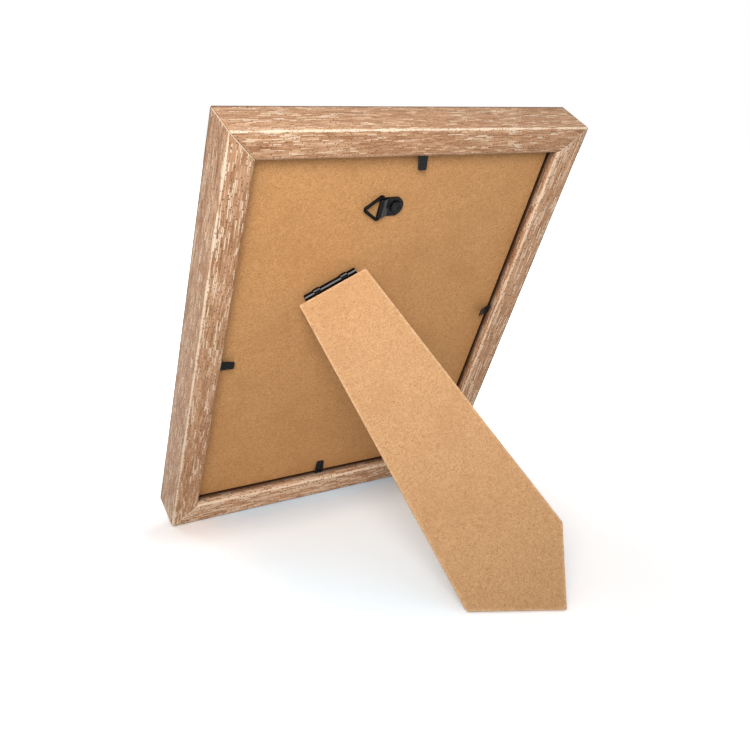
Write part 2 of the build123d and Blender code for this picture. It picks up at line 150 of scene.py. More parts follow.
# Floor as it lights the frame, and as it is seen: under the frame, outside it, behind the edge that the frame
# rests on, and at the ends of that edge. The seen floor is painted darker under the frame and behind that edge, as
# painted shade, and brighter outside, which paints out the leg's shadow there
FLOOR_UNSEEN = (0.78, 0.8, 0.82, 1.0)
FLOOR_UNDER = (1.36, 1.56, 1.7, 1.0)
FLOOR_OUTSIDE = (1.68, 1.72, 1.76, 1.0)
FLOOR_SHADE_BEHIND_EDGE = (0.86, 1.1, 1.32, 1.0)
FLOOR_SHADE_AT_ENDS = (1.25, 1.25, 1.26, 1.0)

# Lamps: width in metres, spread in radians, place and aim
LAMPS = {
    "above_camera": (0.26, radians(67), (0.27, 0.40, 0.33), (0.03, 0.0, 0.19)),
    "on_picture": (0.8, pi, (0.25, -0.75, 0.7), (0.0, 0.0, 0.1)),
}

# Nearest distance that the camera shows, in metres
NEAR_CLIP = 0.01

# Fineness of rounded shapes
ARC_STEPS = 5
EDGE_STEPS = 3
BEVEL_STEPS = 2
BEND_STEPS = 8
WIRE_STEPS = 20
ROUND_STEPS = 40
FLOOR_CELLS = 8
SHARP_ANGLE = radians(42)
WELD = 1e-7

# Rivets in a leaf of the hinge, the upright share of their heads, and the slope of the strap's fold
LEAF_RIVETS = 2
HEAD_WALL = 0.3
FOLD_SLOPE = atan2(1.0, 2.0)


def length(label, text, millimetres):
    """Property for a size, from its value in millimetres."""
    return FloatProperty(name=label, description=text, default=millimetres * MM, unit="LENGTH", precision=5)


def angle(label, text, degrees):
    """Property for an angle, from its value in degrees."""
    return FloatProperty(name=label, description=text, default=radians(degrees), subtype="ANGLE")


def linear(value):
    """Turn one channel of a screen colour, from 0 to 255, into linear light."""
    share = value / 255
    return share / 12.92 if share <= 0.04045 else ((share + 0.055) / 1.055) ** 2.4


def colour(label, text, *channels):
    """Property for a colour, from its red, green and blue on screen."""
    kind = {"subtype": "COLOR", "size": 3, "min": 0, "max": 1}
    return FloatVectorProperty(name=label, description=text, default=[linear(v) for v in channels], **kind)


def amount(label, text, value, unit):
    """Property for a plain amount in its own unit."""
    return FloatProperty(name=label, description=text, default=value, unit=unit, min=0)


class RailSizes(bpy.types.PropertyGroup):
    """Sizes of the rails"""

    width: length("Width", "Across a rail's back", 13.3)
    depth: length("Depth", "From the back of a rail to its front", 21.2)
    lip: length("Lip", "How far the front lip covers the glass", 5.0)
    rabbet: length("Rabbet", "From the back of a rail to its lip", 12.1)
    sight_bevel: length("Sight bevel", "Bevel round the picture", 3.0)
    back_arris: length("Back arris", "Rounding of the outer back edge", 0.8)
    inner_arris: length("Inner arris", "Rounding of the inner back edge", 1.8)
    front_arris: length("Front arris", "Rounding of the front's outer edge", 0.6)
    sight_round: length("Sight rounding", "Rounding of the bevel's edges", 0.4)
    corner_round: length("Corner rounding", "Rounding of the outer corners", 0.9)
    mitre_gap: length("Mitre gap", "Half of the joint between two rails", 0.04)
    sections: IntProperty(name="Sections", description="Rings of points along a rail", default=72, min=8)


class LayerSizes(bpy.types.PropertyGroup):
    """Sizes of the back panel, the card and the glass"""

    recess: length("Recess", "From the back of the rails to the back panel", 6.5)
    panel: length("Panel", "Thickness of the back panel", 3.0)
    card: length("Card", "Thickness of the card in the picture's place", 0.45)
    card_bed: length("Card bed", "Room for the card between panel and glass", 0.6)
    glass: length("Glass", "Thickness of the glass", 1.9)
    glass_bed: length("Glass bed", "Room for the glass between card and lip", 2.0)
    glass_gap: length("Glass gap", "Room round the glass", 0.7)
    card_gap: length("Card gap", "Room round the card", 1.5)
    glass_edge: length("Glass edge", "Ground edge of the glass", 0.2)
    card_edge: length("Card edge", "Rounding of the card's cut edge", 0.08)


class LegSizes(bpy.types.PropertyGroup):
    """Sizes of the strut leg"""

    opened: angle("Open angle", "How far the leg stands off the back", 61.8)
    thickness: length("Thickness", "Thickness of the leg", 2.5)
    top_width: length("Top width", "Width of the leg at the hinge", 36.0)
    top_gap: length("Top gap", "Room between the leg's top edge and the barrel", 0.24)
    offset: length("Offset", "From the middle of the pin to the leg's inner face", 0.75)
    foot_inset: length("Foot inset", "From the rails' lower edge to the folded foot", 1.4)
    foot_side_gap: length("Foot side gap", "Room between the folded foot and the right rail", 0.9)
    foot_length: length("Foot length", "Length of the foot's edge", 43.8)
    foot_rise: length("Foot rise", "From the foot up to the leg's knee", 37.8)
    foot_round: length("Foot rounding", "Rounding of the heel and the knee", 1.8)
    top_round: length("Top rounding", "Rounding of the other corners", 0.6)
    edge: length("Edge", "Softening of the cut edges", 0.35)
    rim: length("Rim", "Width of the rubbed rim along the edges", 1.1)


class HingeSizes(bpy.types.PropertyGroup):
    """Sizes of the leg's hinge"""

    span: length("Length", "Length of the barrel", 27.4)
    knuckle: length("Knuckle", "Radius of the knuckles on the back panel", 1.9)
    eye: length("Eye", "Radius of the knuckles on the leg", 1.8)
    bore: length("Bore", "Radius of the knuckles' bore", 1.2)
    pin: length("Pin", "Radius of the pin", 1.15)
    leaf: length("Leaf", "Thickness of the leaves", 0.8)
    leaf_drop: length("Leaf drop", "From the pin to a leaf's lower edge", 13.0)
    notch: length("Notch", "From the pin to the leaf between knuckles", 2.4)
    gap: length("Gap", "Room between neighbouring knuckles", 0.12)
    seam: length("Seam", "Gap where a rolled knuckle closes", 0.08)
    heel_reach: length("Heel reach", "From the pin to the tip of a stop heel", 1.4)
    heel: length("Heel", "Thickness of a stop heel at its tip", 0.7)
    stop_gap: length("Stop gap", "From a stop heel to the back panel", 0.04)
    edge: length("Edge", "Softening of the sheet's edges", 0.12)
    rivet_head: length("Rivet head", "Radius of a rivet's head", 2.2)
    rivet_rise: length("Rivet rise", "Height of a rivet's head", 0.45)
    rivet_shank: length("Rivet shank", "Radius of a rivet's shank", 1.2)
    rivet_spacing: length("Rivet spacing", "Between the two rivets of a leaf", 16.0)
    rivet_drop: length("Rivet drop", "From the pin down to the rivets", 8.0)
    rivet_bite: length("Rivet bite", "How far a rivet goes into the board", 1.8)


class HangerSizes(bpy.types.PropertyGroup):
    """Sizes of the hanger"""

    strap_width: length("Strap width", "Width of the folded strap", 9.5)
    strap: length("Strap", "Thickness of the strap's sheet", 0.5)
    reach: length("Reach", "From the rivet to the ring's bar", 8.0)
    end: length("End", "From the rivet to the strap's round end", 3.9)
    nose: length("Nose", "Height of the round end's arc", 3.4)
    layer_gap: length("Layer gap", "Gap between the strap's two layers", 0.03)
    edge: length("Edge", "Softening of the strap's edges", 0.12)
    bar_gap: length("Bar gap", "Room between the ring's bar and the strap", 0.1)
    side_gap: length("Side gap", "Room between the ring's sides and the strap", 0.2)
    rest_gap: length("Rest gap", "From the ring's point to the back panel", 1.4)
    lift: length("Lift", "From the back panel to the strap", 0.05)
    wire: length("Wire", "Radius of the ring's wire", 0.78)
    ring_height: length("Ring height", "From the ring's bar to its point", 9.4)
    ring_bend: length("Ring bend", "Radius of the ring's bends", 1.1)
    rivet_head: length("Rivet head", "Radius of the rivet's flat head", 3.0)
    rivet_rise: length("Rivet rise", "Height of the rivet's head", 1.0)
    rivet_edge: length("Rivet edge", "Rounding of the rivet's head", 0.35)
    rivet_shank: length("Rivet shank", "Radius of the rivet's shank", 1.5)


class TabSizes(bpy.types.PropertyGroup):
    """Sizes of the tabs, and how far each is bent"""

    width: length("Width", "Width of a tab at its root", 5.2)
    tip_width: length("Tip width", "Width of a tab at its tip", 4.4)
    thickness: length("Thickness", "Thickness of a tab", 0.6)
    reach: length("Length", "From the bend to the tip", 7.6)
    tip_round: length("Tip rounding", "Rounding of the tip's corners", 0.8)
    bend_out: length("Bend", "From the rail to the bend", 0.9)
    tang: length("Tang", "How far a tab is driven into its rail", 8.0)
    bend_gap: length("Bend gap", "Room between tang and blade", 0.05)
    edge: length("Edge", "Softening of a tab's edges", 0.14)
    rim: length("Rim", "Width of the rubbed rim along the edges", 0.35)
    lift_top: angle("Lift of the top tab", "How far it is bent off the back panel", 18.5)
    lift_bottom: angle("Lift of the bottom tab", "How far it is bent off the back panel", -7.561)
    lift_left: angle("Lift of the left tab", "How far it is bent off the back panel", 5.0)
    lift_right: angle("Lift of the right tab", "How far it is bent off the back panel", 22.0)


class GrainSizes(bpy.types.PropertyGroup):
    """Sizes of the pattern on the rails"""

    row: length("Row", "Height of a row of dashes", 0.62)
    dash: length("Dash", "Usual length of a dash", 4.4)
    sway: length("Sway", "How far the rows wander", 1.2)
    pore: length("Pore", "Radius of a pore", 0.33)
    pore_spacing: length("Pore spacing", "Between neighbouring pores", 2.1)
    rub: length("Rub", "Width of a rubbed edge", 0.9)
    mitre: length("Mitre", "Width of the pale line along a mitre", 0.4)
    # The rebate's darkening is partly stain and partly painted shade
    stain_and_shade: length("Stain and shade", "Depth in the rebate at which the stain is darkest", 6.4)
    relief: length("Relief", "Depth of the grain", 0.1)


class FinishColours(bpy.types.PropertyGroup):
    """Colours of the finishes"""

    grain_dark: colour("Dark grain", "Dark streaks of the rails", 146, 100, 68)
    grain: colour("Grain", "Ground colour of the rails", 206, 160, 123)
    lime: colour("Lime", "Pale patches in the grain", 230, 190, 154)
    # Also the colour of the painted highlights along the rails' back edges
    wear_and_highlight: colour("Worn edge", "Pale dashes and rubbed edges of the rails", 250, 226, 198)
    pore: colour("Pore", "Pores and cracks of the rails", 84, 51, 34)
    # Partly stain, partly painted shade: deep in the rebate and along the outer back edge of the less rubbed
    # rails; also the dark front edge
    stain_and_shade: colour("Stain and shade", "Dark stain in the rebate and along the front edge", 50, 29, 17)
    board: colour("Board", "Ground colour of the back panel", 216, 163, 108)
    board_dark: colour("Dark fibre", "Dark fibres of the back panel", 182, 131, 80)
    board_pale: colour("Pale fibre", "Pale fibres of the back panel", 232, 184, 130)
    leg: colour("Leg", "Ground colour of the leg", 215, 168, 120)
    leg_dark: colour("Dark fibre of the leg", "Dark fibres of the leg", 186, 137, 91)
    # The leg's pale rims are partly rubbed cut edges and partly painted highlights
    leg_pale: colour("Pale fibre of the leg", "Rubbed edges and pale fibres of the leg", 248, 212, 168)
    speck: colour("Speck", "Dark specks of the fibreboard", 120, 82, 52)
    paint: colour("Black paint", "Ground colour of the hanger, hinge and tabs", 13, 13, 14)
    paint_worn: colour("Rubbed paint", "Rubbed edges of the black paint", 78, 78, 80)
    # Painted highlight along the crest of the hinge's knuckles
    crest: colour("Crest highlight", "Painted highlight along the crest of the hinge's knuckles", 150, 150, 152)
    steel: colour("Steel", "Bare steel of nails and washer", 190, 190, 192)
    card: colour("Card", "Card in the picture's place", 238, 236, 230)


class StageSettings(bpy.types.PropertyGroup):
    """Camera, floor and light"""

    azimuth: angle("Azimuth", "Turn of the camera round the frame", 149.6277)
    elevation: angle("Elevation", "Height of the camera above the horizon", 14.9858)
    roll: angle("Roll", "Tilt of the camera about its view", -0.6952)
    distance: length("Distance", "From the camera to its target", 434.448)
    target: FloatVectorProperty(
        name="Target",
        description="Point that the camera looks at",
        default=(11.188 * MM, 1.2526 * MM, 91.013 * MM),
        subtype="TRANSLATION",
    )
    lens: amount("Lens", "Focal length on a 36 mm sensor", 43.5022, "CAMERA")
    floor_size: length("Floor", "Width of the floor", 12000.0)
    floor_under: length("Floor under", "Reach of the floor that lies under the frame", 55.0)
    floor_near: length("Floor near", "Reach of the floor's shadows from the frame", 115.0)
    floor_contact: length("Floor contact", "Reach of the painted shade behind the frame's resting edge", 45.0)
    floor_far: length("Floor far", "Where the floor has run out to white", 300.0)
    sky: amount("Sky", "Strength of the even light from all round", 0.46, "NONE")
    above_camera: amount("Above camera", "Power of the lamp above the camera", 0.4, "POWER")
    on_picture: amount("On picture", "Power of the lamp on the picture", 1.2, "POWER")


SETTINGS = {
    "frame_rails": RailSizes,
    "frame_layers": LayerSizes,
    "frame_leg": LegSizes,
    "frame_hinge": HingeSizes,
    "frame_hanger": HangerSizes,
    "frame_tabs": TabSizes,
    "frame_grain": GrainSizes,
    "frame_colours": FinishColours,
    "frame_stage": StageSettings,
}


# Places on the object


def placed(origin, along, inward, outward):
    """Matrix of a local frame with these three directions."""
    place = Matrix((along, inward, outward)).transposed().to_4x4()
    place.translation = origin
    return place


def on_back(across, up, out):
    """Point on the back, from its middle."""
    return MIDDLE + ACROSS * across + UP * up + OUT * out


def outer_height(rails):
    """Height of the frame, along its back."""
    return 2 * (WALL_SPOT - MIDDLE).dot(UP) + rails.width


def rail_size(side, rails):
    """Length of a rail, and the distance from the middle of the back to its outer face."""
    sizes = (OUTER_WIDTH, outer_height(rails))
    if side in ("left", "right"):
        return sizes[1], sizes[0] / 2
    return sizes[0], sizes[1] / 2


def rail_place(side, rails):
    """Frame of a rail: X along it, Y inward, Z out of the back, from its outer back edge."""
    inward = INWARD[side]
    origin = MIDDLE - inward * rail_size(side, rails)[1]
    return placed(origin, inward.cross(OUT), inward, OUT)


def leg_directions(leg):
    """Way down the open leg and way out of its outer face."""
    down = DOWN_BACK * cos(leg.opened) + OUT * sin(leg.opened)
    outward = OUT * cos(leg.opened) - DOWN_BACK * sin(leg.opened)
    return down, outward


# Meshes


def evenly(start, end, steps):
    """Values from start to end, in even steps."""
    return [start + (end - start) * step / steps for step in range(steps + 1)]


def rounded_outline(corners, radii, inset=0.0):
    """Outline, drawn anticlockwise, with its sides moved in and its corners rounded."""
    points = []
    for index, corner in enumerate(corners):
        here = Vector(corner)
        before = (here - Vector(corners[index - 1])).normalized()
        after = (Vector(corners[(index + 1) % len(corners)]) - here).normalized()
        turn = atan2(before.x * after.y - before.y * after.x, before.dot(after))
        side = 1.0 if turn > 0 else -1.0
        left = Vector((-before.y, before.x))
        shift = left + Vector((-after.y, after.x))
        moved = here + shift * (inset / (1 + before.dot(after)))
        radius = max(radii[index] - side * inset, 0.0)
        start = moved - before * radius * tan(abs(turn) / 2)
        centre = start + left * radius * side
        spoke = start - centre
        for swing in evenly(0.0, turn, ARC_STEPS):
            points.append(centre + Matrix.Rotation(swing, 2) @ spoke)
    return points


def loft(rings, wear=None):
    """Join rings of points into a closed shell, with each ring's wear kept as the rim attribute."""
    shell = bmesh.new()
    layer = shell.verts.layers.float.new("rim")
    loops = []
    for index, ring in enumerate(rings):
        loop = [shell.verts.new(point) for point in ring]
        for vertex in loop:
            vertex[layer] = wear[index] if wear else 0.0
        loops.append(loop)
    for low, high in zip(loops, loops[1:]):
        for index in range(len(low)):
            after = (index + 1) % len(low)
            shell.faces.new((low[index], low[after], high[after], high[index]))
    shell.faces.new(reversed(loops[0]))
    shell.faces.new(loops[-1])
    return shell


def plate(corners, radii, thickness, edge, rim):
    """Flat board with softened edges, lying on Z = 0."""
    swings = evenly(0.0, pi / 2, EDGE_STEPS)
    lower = [(edge + rim, 0.0, 0.0), (edge + rim / 8, 0.0, 0.6)]
    lower += [(edge * (1 - sin(swing)), edge * (1 - cos(swing)), 1.0) for swing in swings]
    upper = [(inset, thickness - height, wear_and_highlight) for inset, height, wear_and_highlight in reversed(lower)]
    rings = []
    for inset, height, _ in lower + upper:
        outline = rounded_outline(corners, radii, inset)
        rings.append([(point.x, point.y, height) for point in outline])
    return loft(rings, [wear_and_highlight for _, _, wear_and_highlight in lower + upper])


def prism(outline, start, end, place):
    """Straight piece of one section, from start to end along the place's X, with the outline in Y and Z."""
    rings = [[place @ Vector((along, point[0], point[1])) for point in outline] for along in (start, end)]
    return loft(rings)


def lathe(profile):
    """Shell turned about Z from points of radius and height, from its bottom to its top."""
    circle = [(cos(swing), sin(swing)) for swing in evenly(0.0, 2 * pi, ROUND_STEPS)[:-1]]
    return loft([[(radius * x, radius * y, height) for x, y in circle] for radius, height in profile])


def joined(*shells):
    """Several shells as one."""
    whole = bmesh.new()
    whole.verts.layers.float.new("rim")
    for shell in shells:
        passed = bpy.data.meshes.new("passed")
        shell.to_mesh(passed)
        shell.free()
        whole.from_mesh(passed)
        bpy.data.meshes.remove(passed)
    return whole


def as_mesh(name, shell, place=None):
    """Plain mesh of a shell, welded, with its faces pointing outwards and its sharp edges marked."""
    bmesh.ops.remove_doubles(shell, verts=shell.verts, dist=WELD)
    bmesh.ops.dissolve_degenerate(shell, edges=shell.edges, dist=WELD)
    bmesh.ops.recalc_face_normals(shell, faces=shell.faces)
    mesh = bpy.data.meshes.new(name)
    shell.to_mesh(mesh)
    shell.free()
    if place:
        mesh.transform(place)
    return smoothed(mesh)


def smoothed(mesh):
    """Shade the mesh smooth between its sharp edges."""
    mesh.shade_smooth()
    mesh.set_sharp_from_angle(angle=SHARP_ANGLE)
    return mesh


def evaluated(made):
    """Mesh of an object with its modifiers applied; the object is removed."""
    mesh = bpy.data.meshes.new_from_object(made.evaluated_get(bpy.context.evaluated_depsgraph_get()))
    made.modifiers.clear()
    bpy.data.objects.remove(made)
    return mesh


def loose(name, data):
    """New object of the scene, not yet a piece."""
    made = bpy.data.objects.new(name, data)
    bpy.context.scene.collection.objects.link(made)
    return made


def softened(mesh, width):
    """The mesh with its sharp edges rounded."""
    made = loose("softened", mesh)
    bevel = made.modifiers.new("edges", "BEVEL")
    bevel.width = width
    bevel.segments = BEVEL_STEPS
    bevel.limit_method = "ANGLE"
    bevel.angle_limit = SHARP_ANGLE
    bevel.harden_normals = True
    return evaluated(made)


def piece(name, mesh, body, slot, finish, *nodes):
    """Put a finished mesh in the scene, on its body and in place of its plain parts."""
    mesh.name = name
    mesh.materials.clear()
    mesh.materials.append(finish)
    made = loose(name, mesh)
    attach(made, body)
    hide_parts(*nodes)
    return made


def dress(node, finish):
    """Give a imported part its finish."""
    for slot in frame["nodes"][node].material_slots:
        slot.material = finish


# Nodes


def put(tree, kind, values=None, **settings):
    """Add a node with its settings, and with values or links for its inputs."""
    node = tree.nodes.new(kind)
    for name, value in settings.items():
        setattr(node, name, value)
    fill(tree, node, values or {})
    return node


def fill(tree, node, values):
    """Set or link the inputs of a node."""
    for name, value in values.items():
        if isinstance(value, bpy.types.NodeSocket):
            tree.links.new(value, node.inputs[name])
        else:
            node.inputs[name].default_value = value


def calc(tree, operation, *terms):
    """One step of arithmetic."""
    return put(tree, "ShaderNodeMath", dict(enumerate(terms)), operation=operation).outputs[0]


def fade(tree, value, start, end, low=0.0, high=1.0):
    """Smooth step from low to high while value goes from start to end."""
    values = {"Value": value, "From Min": start, "From Max": end, "To Min": low, "To Max": high}
    return put(tree, "ShaderNodeMapRange", values, interpolation_type="SMOOTHSTEP").outputs[0]


def tint(tree, share, under, over):
    """Lay one colour over another."""
    values = {0: share, 6: under, 7: over}
    return put(tree, "ShaderNodeMix", values, data_type="RGBA").outputs[2]


def split(tree, vector):
    """The three parts of a vector."""
    return put(tree, "ShaderNodeSeparateXYZ", {0: vector}).outputs


def merge(tree, *terms):
    """Vector from its first parts; the others are 0."""
    return put(tree, "ShaderNodeCombineXYZ", dict(enumerate(terms))).outputs[0]


def size_of(tree, vector):
    """Length of a vector."""
    return put(tree, "ShaderNodeVectorMath", {0: vector}, operation="LENGTH").outputs["Value"]


def seen_from(tree, where, place):
    """Place on the object in a local frame, in millimetres."""
    values = {"Vector": where, "Location": place.translation, "Rotation": place.to_euler()}
    values["Scale"] = (MM, MM, MM)
    return put(tree, "ShaderNodeMapping", values, vector_type="TEXTURE").outputs[0]


def paced(tree, vector, pace):
    """Vector with all its axes scaled alike, or each by its own pace."""
    scales = pace if isinstance(pace, tuple) else (pace, pace, pace)
    return put(tree, "ShaderNodeVectorMath", {0: vector, 1: scales}, operation="MULTIPLY").outputs[0]


def in_millimetres(tree, where):
    """Place on the object, in millimetres."""
    return put(tree, "ShaderNodeVectorMath", {0: where, "Scale": 1 / MM}, operation="SCALE").outputs[0]


def cloud(tree, vector, pace, detail, roughness=0.55, distortion=0.0):
    """Even noise, with its blotches to a unit of the vector."""
    values = {"Vector": paced(tree, vector, pace), "Scale": 1.0, "Detail": detail}
    values.update({"Roughness": roughness, "Distortion": distortion})
    return put(tree, "ShaderNodeTexNoise", values).outputs[0]


def dots(tree, vector, pace, radius, share, dimensions="3D"):
    """Mask of round dots: cells to a unit, a dot's radius in cells, and the share of cells that has one."""
    values = {"Vector": paced(tree, vector, pace), "Scale": 1.0}
    cells = put(tree, "ShaderNodeTexVoronoi", values, voronoi_dimensions=dimensions)
    near = fade(tree, cells.outputs["Distance"], radius, radius * 0.6)
    red = put(tree, "ShaderNodeSeparateColor", {0: cells.outputs["Color"]}).outputs[0]
    return calc(tree, "MULTIPLY", near, calc(tree, "LESS_THAN", red, share))


def opaque(shade):
    """Colour of a property as a socket's value."""
    return (*shade, 1.0)


def new_tree(name, kind, inputs, outputs):
    """Node tree with its named sockets, and its two end nodes."""
    tree = bpy.data.node_groups.new(name, kind)
    for label, socket in inputs:
        tree.interface.new_socket(label, in_out="INPUT", socket_type="NodeSocket" + socket)
    for label, socket in outputs:
        tree.interface.new_socket(label, in_out="OUTPUT", socket_type="NodeSocket" + socket)
    return tree, tree.nodes.new("NodeGroupInput").outputs, tree.nodes.new("NodeGroupOutput").inputs


def grown(tree, values):
    """Plain mesh that a geometry tree makes from its inputs."""
    seed = loose(tree.name, bpy.data.meshes.new(tree.name))
    modifier = seed.modifiers.new(tree.name, "NODES")
    modifier.node_group = tree
    for socket in tree.interface.items_tree:
        if socket.in_out == "INPUT" and socket.name in values:
            modifier[socket.identifier] = values[socket.name]
    return evaluated(seed)


def end_tree(tree, shape, finish, made):
    """Smooth the shape, mark its sharp edges, and give it its finish."""
    smooth = put(tree, "GeometryNodeSetShadeSmooth", {0: shape})
    bend = put(tree, "GeometryNodeInputMeshEdgeAngle").outputs[0]
    sharp = calc(tree, "GREATER_THAN", bend, SHARP_ANGLE)
    values = {0: smooth.outputs[0], "Selection": sharp, "Shade Smooth": False}
    marked = put(tree, "GeometryNodeSetShadeSmooth", values, domain="EDGE")
    coated = put(tree, "GeometryNodeSetMaterial", {0: marked.outputs[0], "Material": finish})
    tree.links.new(coated.outputs[0], made[0])


# Finishes


def new_material(name):
    """Material with an empty Principled shader, and the place on the object that its patterns read."""
    material = bpy.data.materials.new(name)
    material.use_nodes = True
    tree = material.node_tree
    shader = tree.nodes["Principled BSDF"]
    where = put(tree, "ShaderNodeTexCoord").outputs["Object"]
    return material, tree, shader, where


def bump(tree, height, depth):
    """Normal of a finish's relief: its full depth in metres."""
    return put(tree, "ShaderNodeBump", {"Height": height, "Distance": depth}).outputs[0]


def dash_rows(tree, spot, patch, grain):
    """Masks of the limed rows: pale dashes, bright dashes and dark lines between rows."""
    sway = cloud(tree, spot, ROW_SWAY, 2.0)
    x, across, _ = split(tree, spot)
    row = calc(tree, "DIVIDE", across, grain.row / MM)
    row = calc(tree, "MULTIPLY_ADD", sway, 2 * grain.sway / grain.row, row)
    row_number = calc(tree, "FLOOR", row)
    row_noise = put(tree, "ShaderNodeTexWhiteNoise", {"W": row_number}, noise_dimensions="1D")
    stagger, stretch, _ = put(tree, "ShaderNodeSeparateColor", {0: row_noise.outputs["Color"]}).outputs
    pace = calc(tree, "MULTIPLY_ADD", stretch, 0.9 * MM / grain.dash, 0.6 * MM / grain.dash)
    run = calc(tree, "MULTIPLY_ADD", x, pace, calc(tree, "MULTIPLY", stagger, 7.0))
    cell = merge(tree, calc(tree, "FLOOR", run), row_number)
    noise = put(tree, "ShaderNodeTexWhiteNoise", {"Vector": cell}, noise_dimensions="2D")
    tone = calc(tree, "MULTIPLY_ADD", noise.outputs["Value"], 0.55, calc(tree, "MULTIPLY", patch, 0.9))
    bar = fade(tree, calc(tree, "PINGPONG", row, 0.5), 0.04, 0.3)
    end = fade(tree, calc(tree, "PINGPONG", run, 0.5), 0.0, 0.05)
    body = calc(tree, "MULTIPLY", bar, end)
    pale = calc(tree, "MULTIPLY", fade(tree, tone, 0.72, 0.88), calc(tree, "MULTIPLY_ADD", body, 0.6, 0.4))
    bright = calc(tree, "MULTIPLY", fade(tree, tone, 0.9, 1.04), body)
    chance = put(tree, "ShaderNodeSeparateColor", {0: noise.outputs["Color"]}).outputs[1]
    line = calc(tree, "MULTIPLY", calc(tree, "SUBTRACT", 1.0, body), fade(tree, chance, 0.3, 0.8))
    return pale, bright, line


def edge_distance(tree, y, z, edges):
    """Distance to the nearest of a rail's edges, each at its own y and z."""
    nearest = None
    for edge_y, edge_z in edges:
        off_y = calc(tree, "SUBTRACT", y, edge_y / MM)
        off_z = calc(tree, "SUBTRACT", z, edge_z / MM)
        off = size_of(tree, merge(tree, off_y, off_z))
        nearest = off if nearest is None else calc(tree, "MINIMUM", nearest, off)
    return nearest


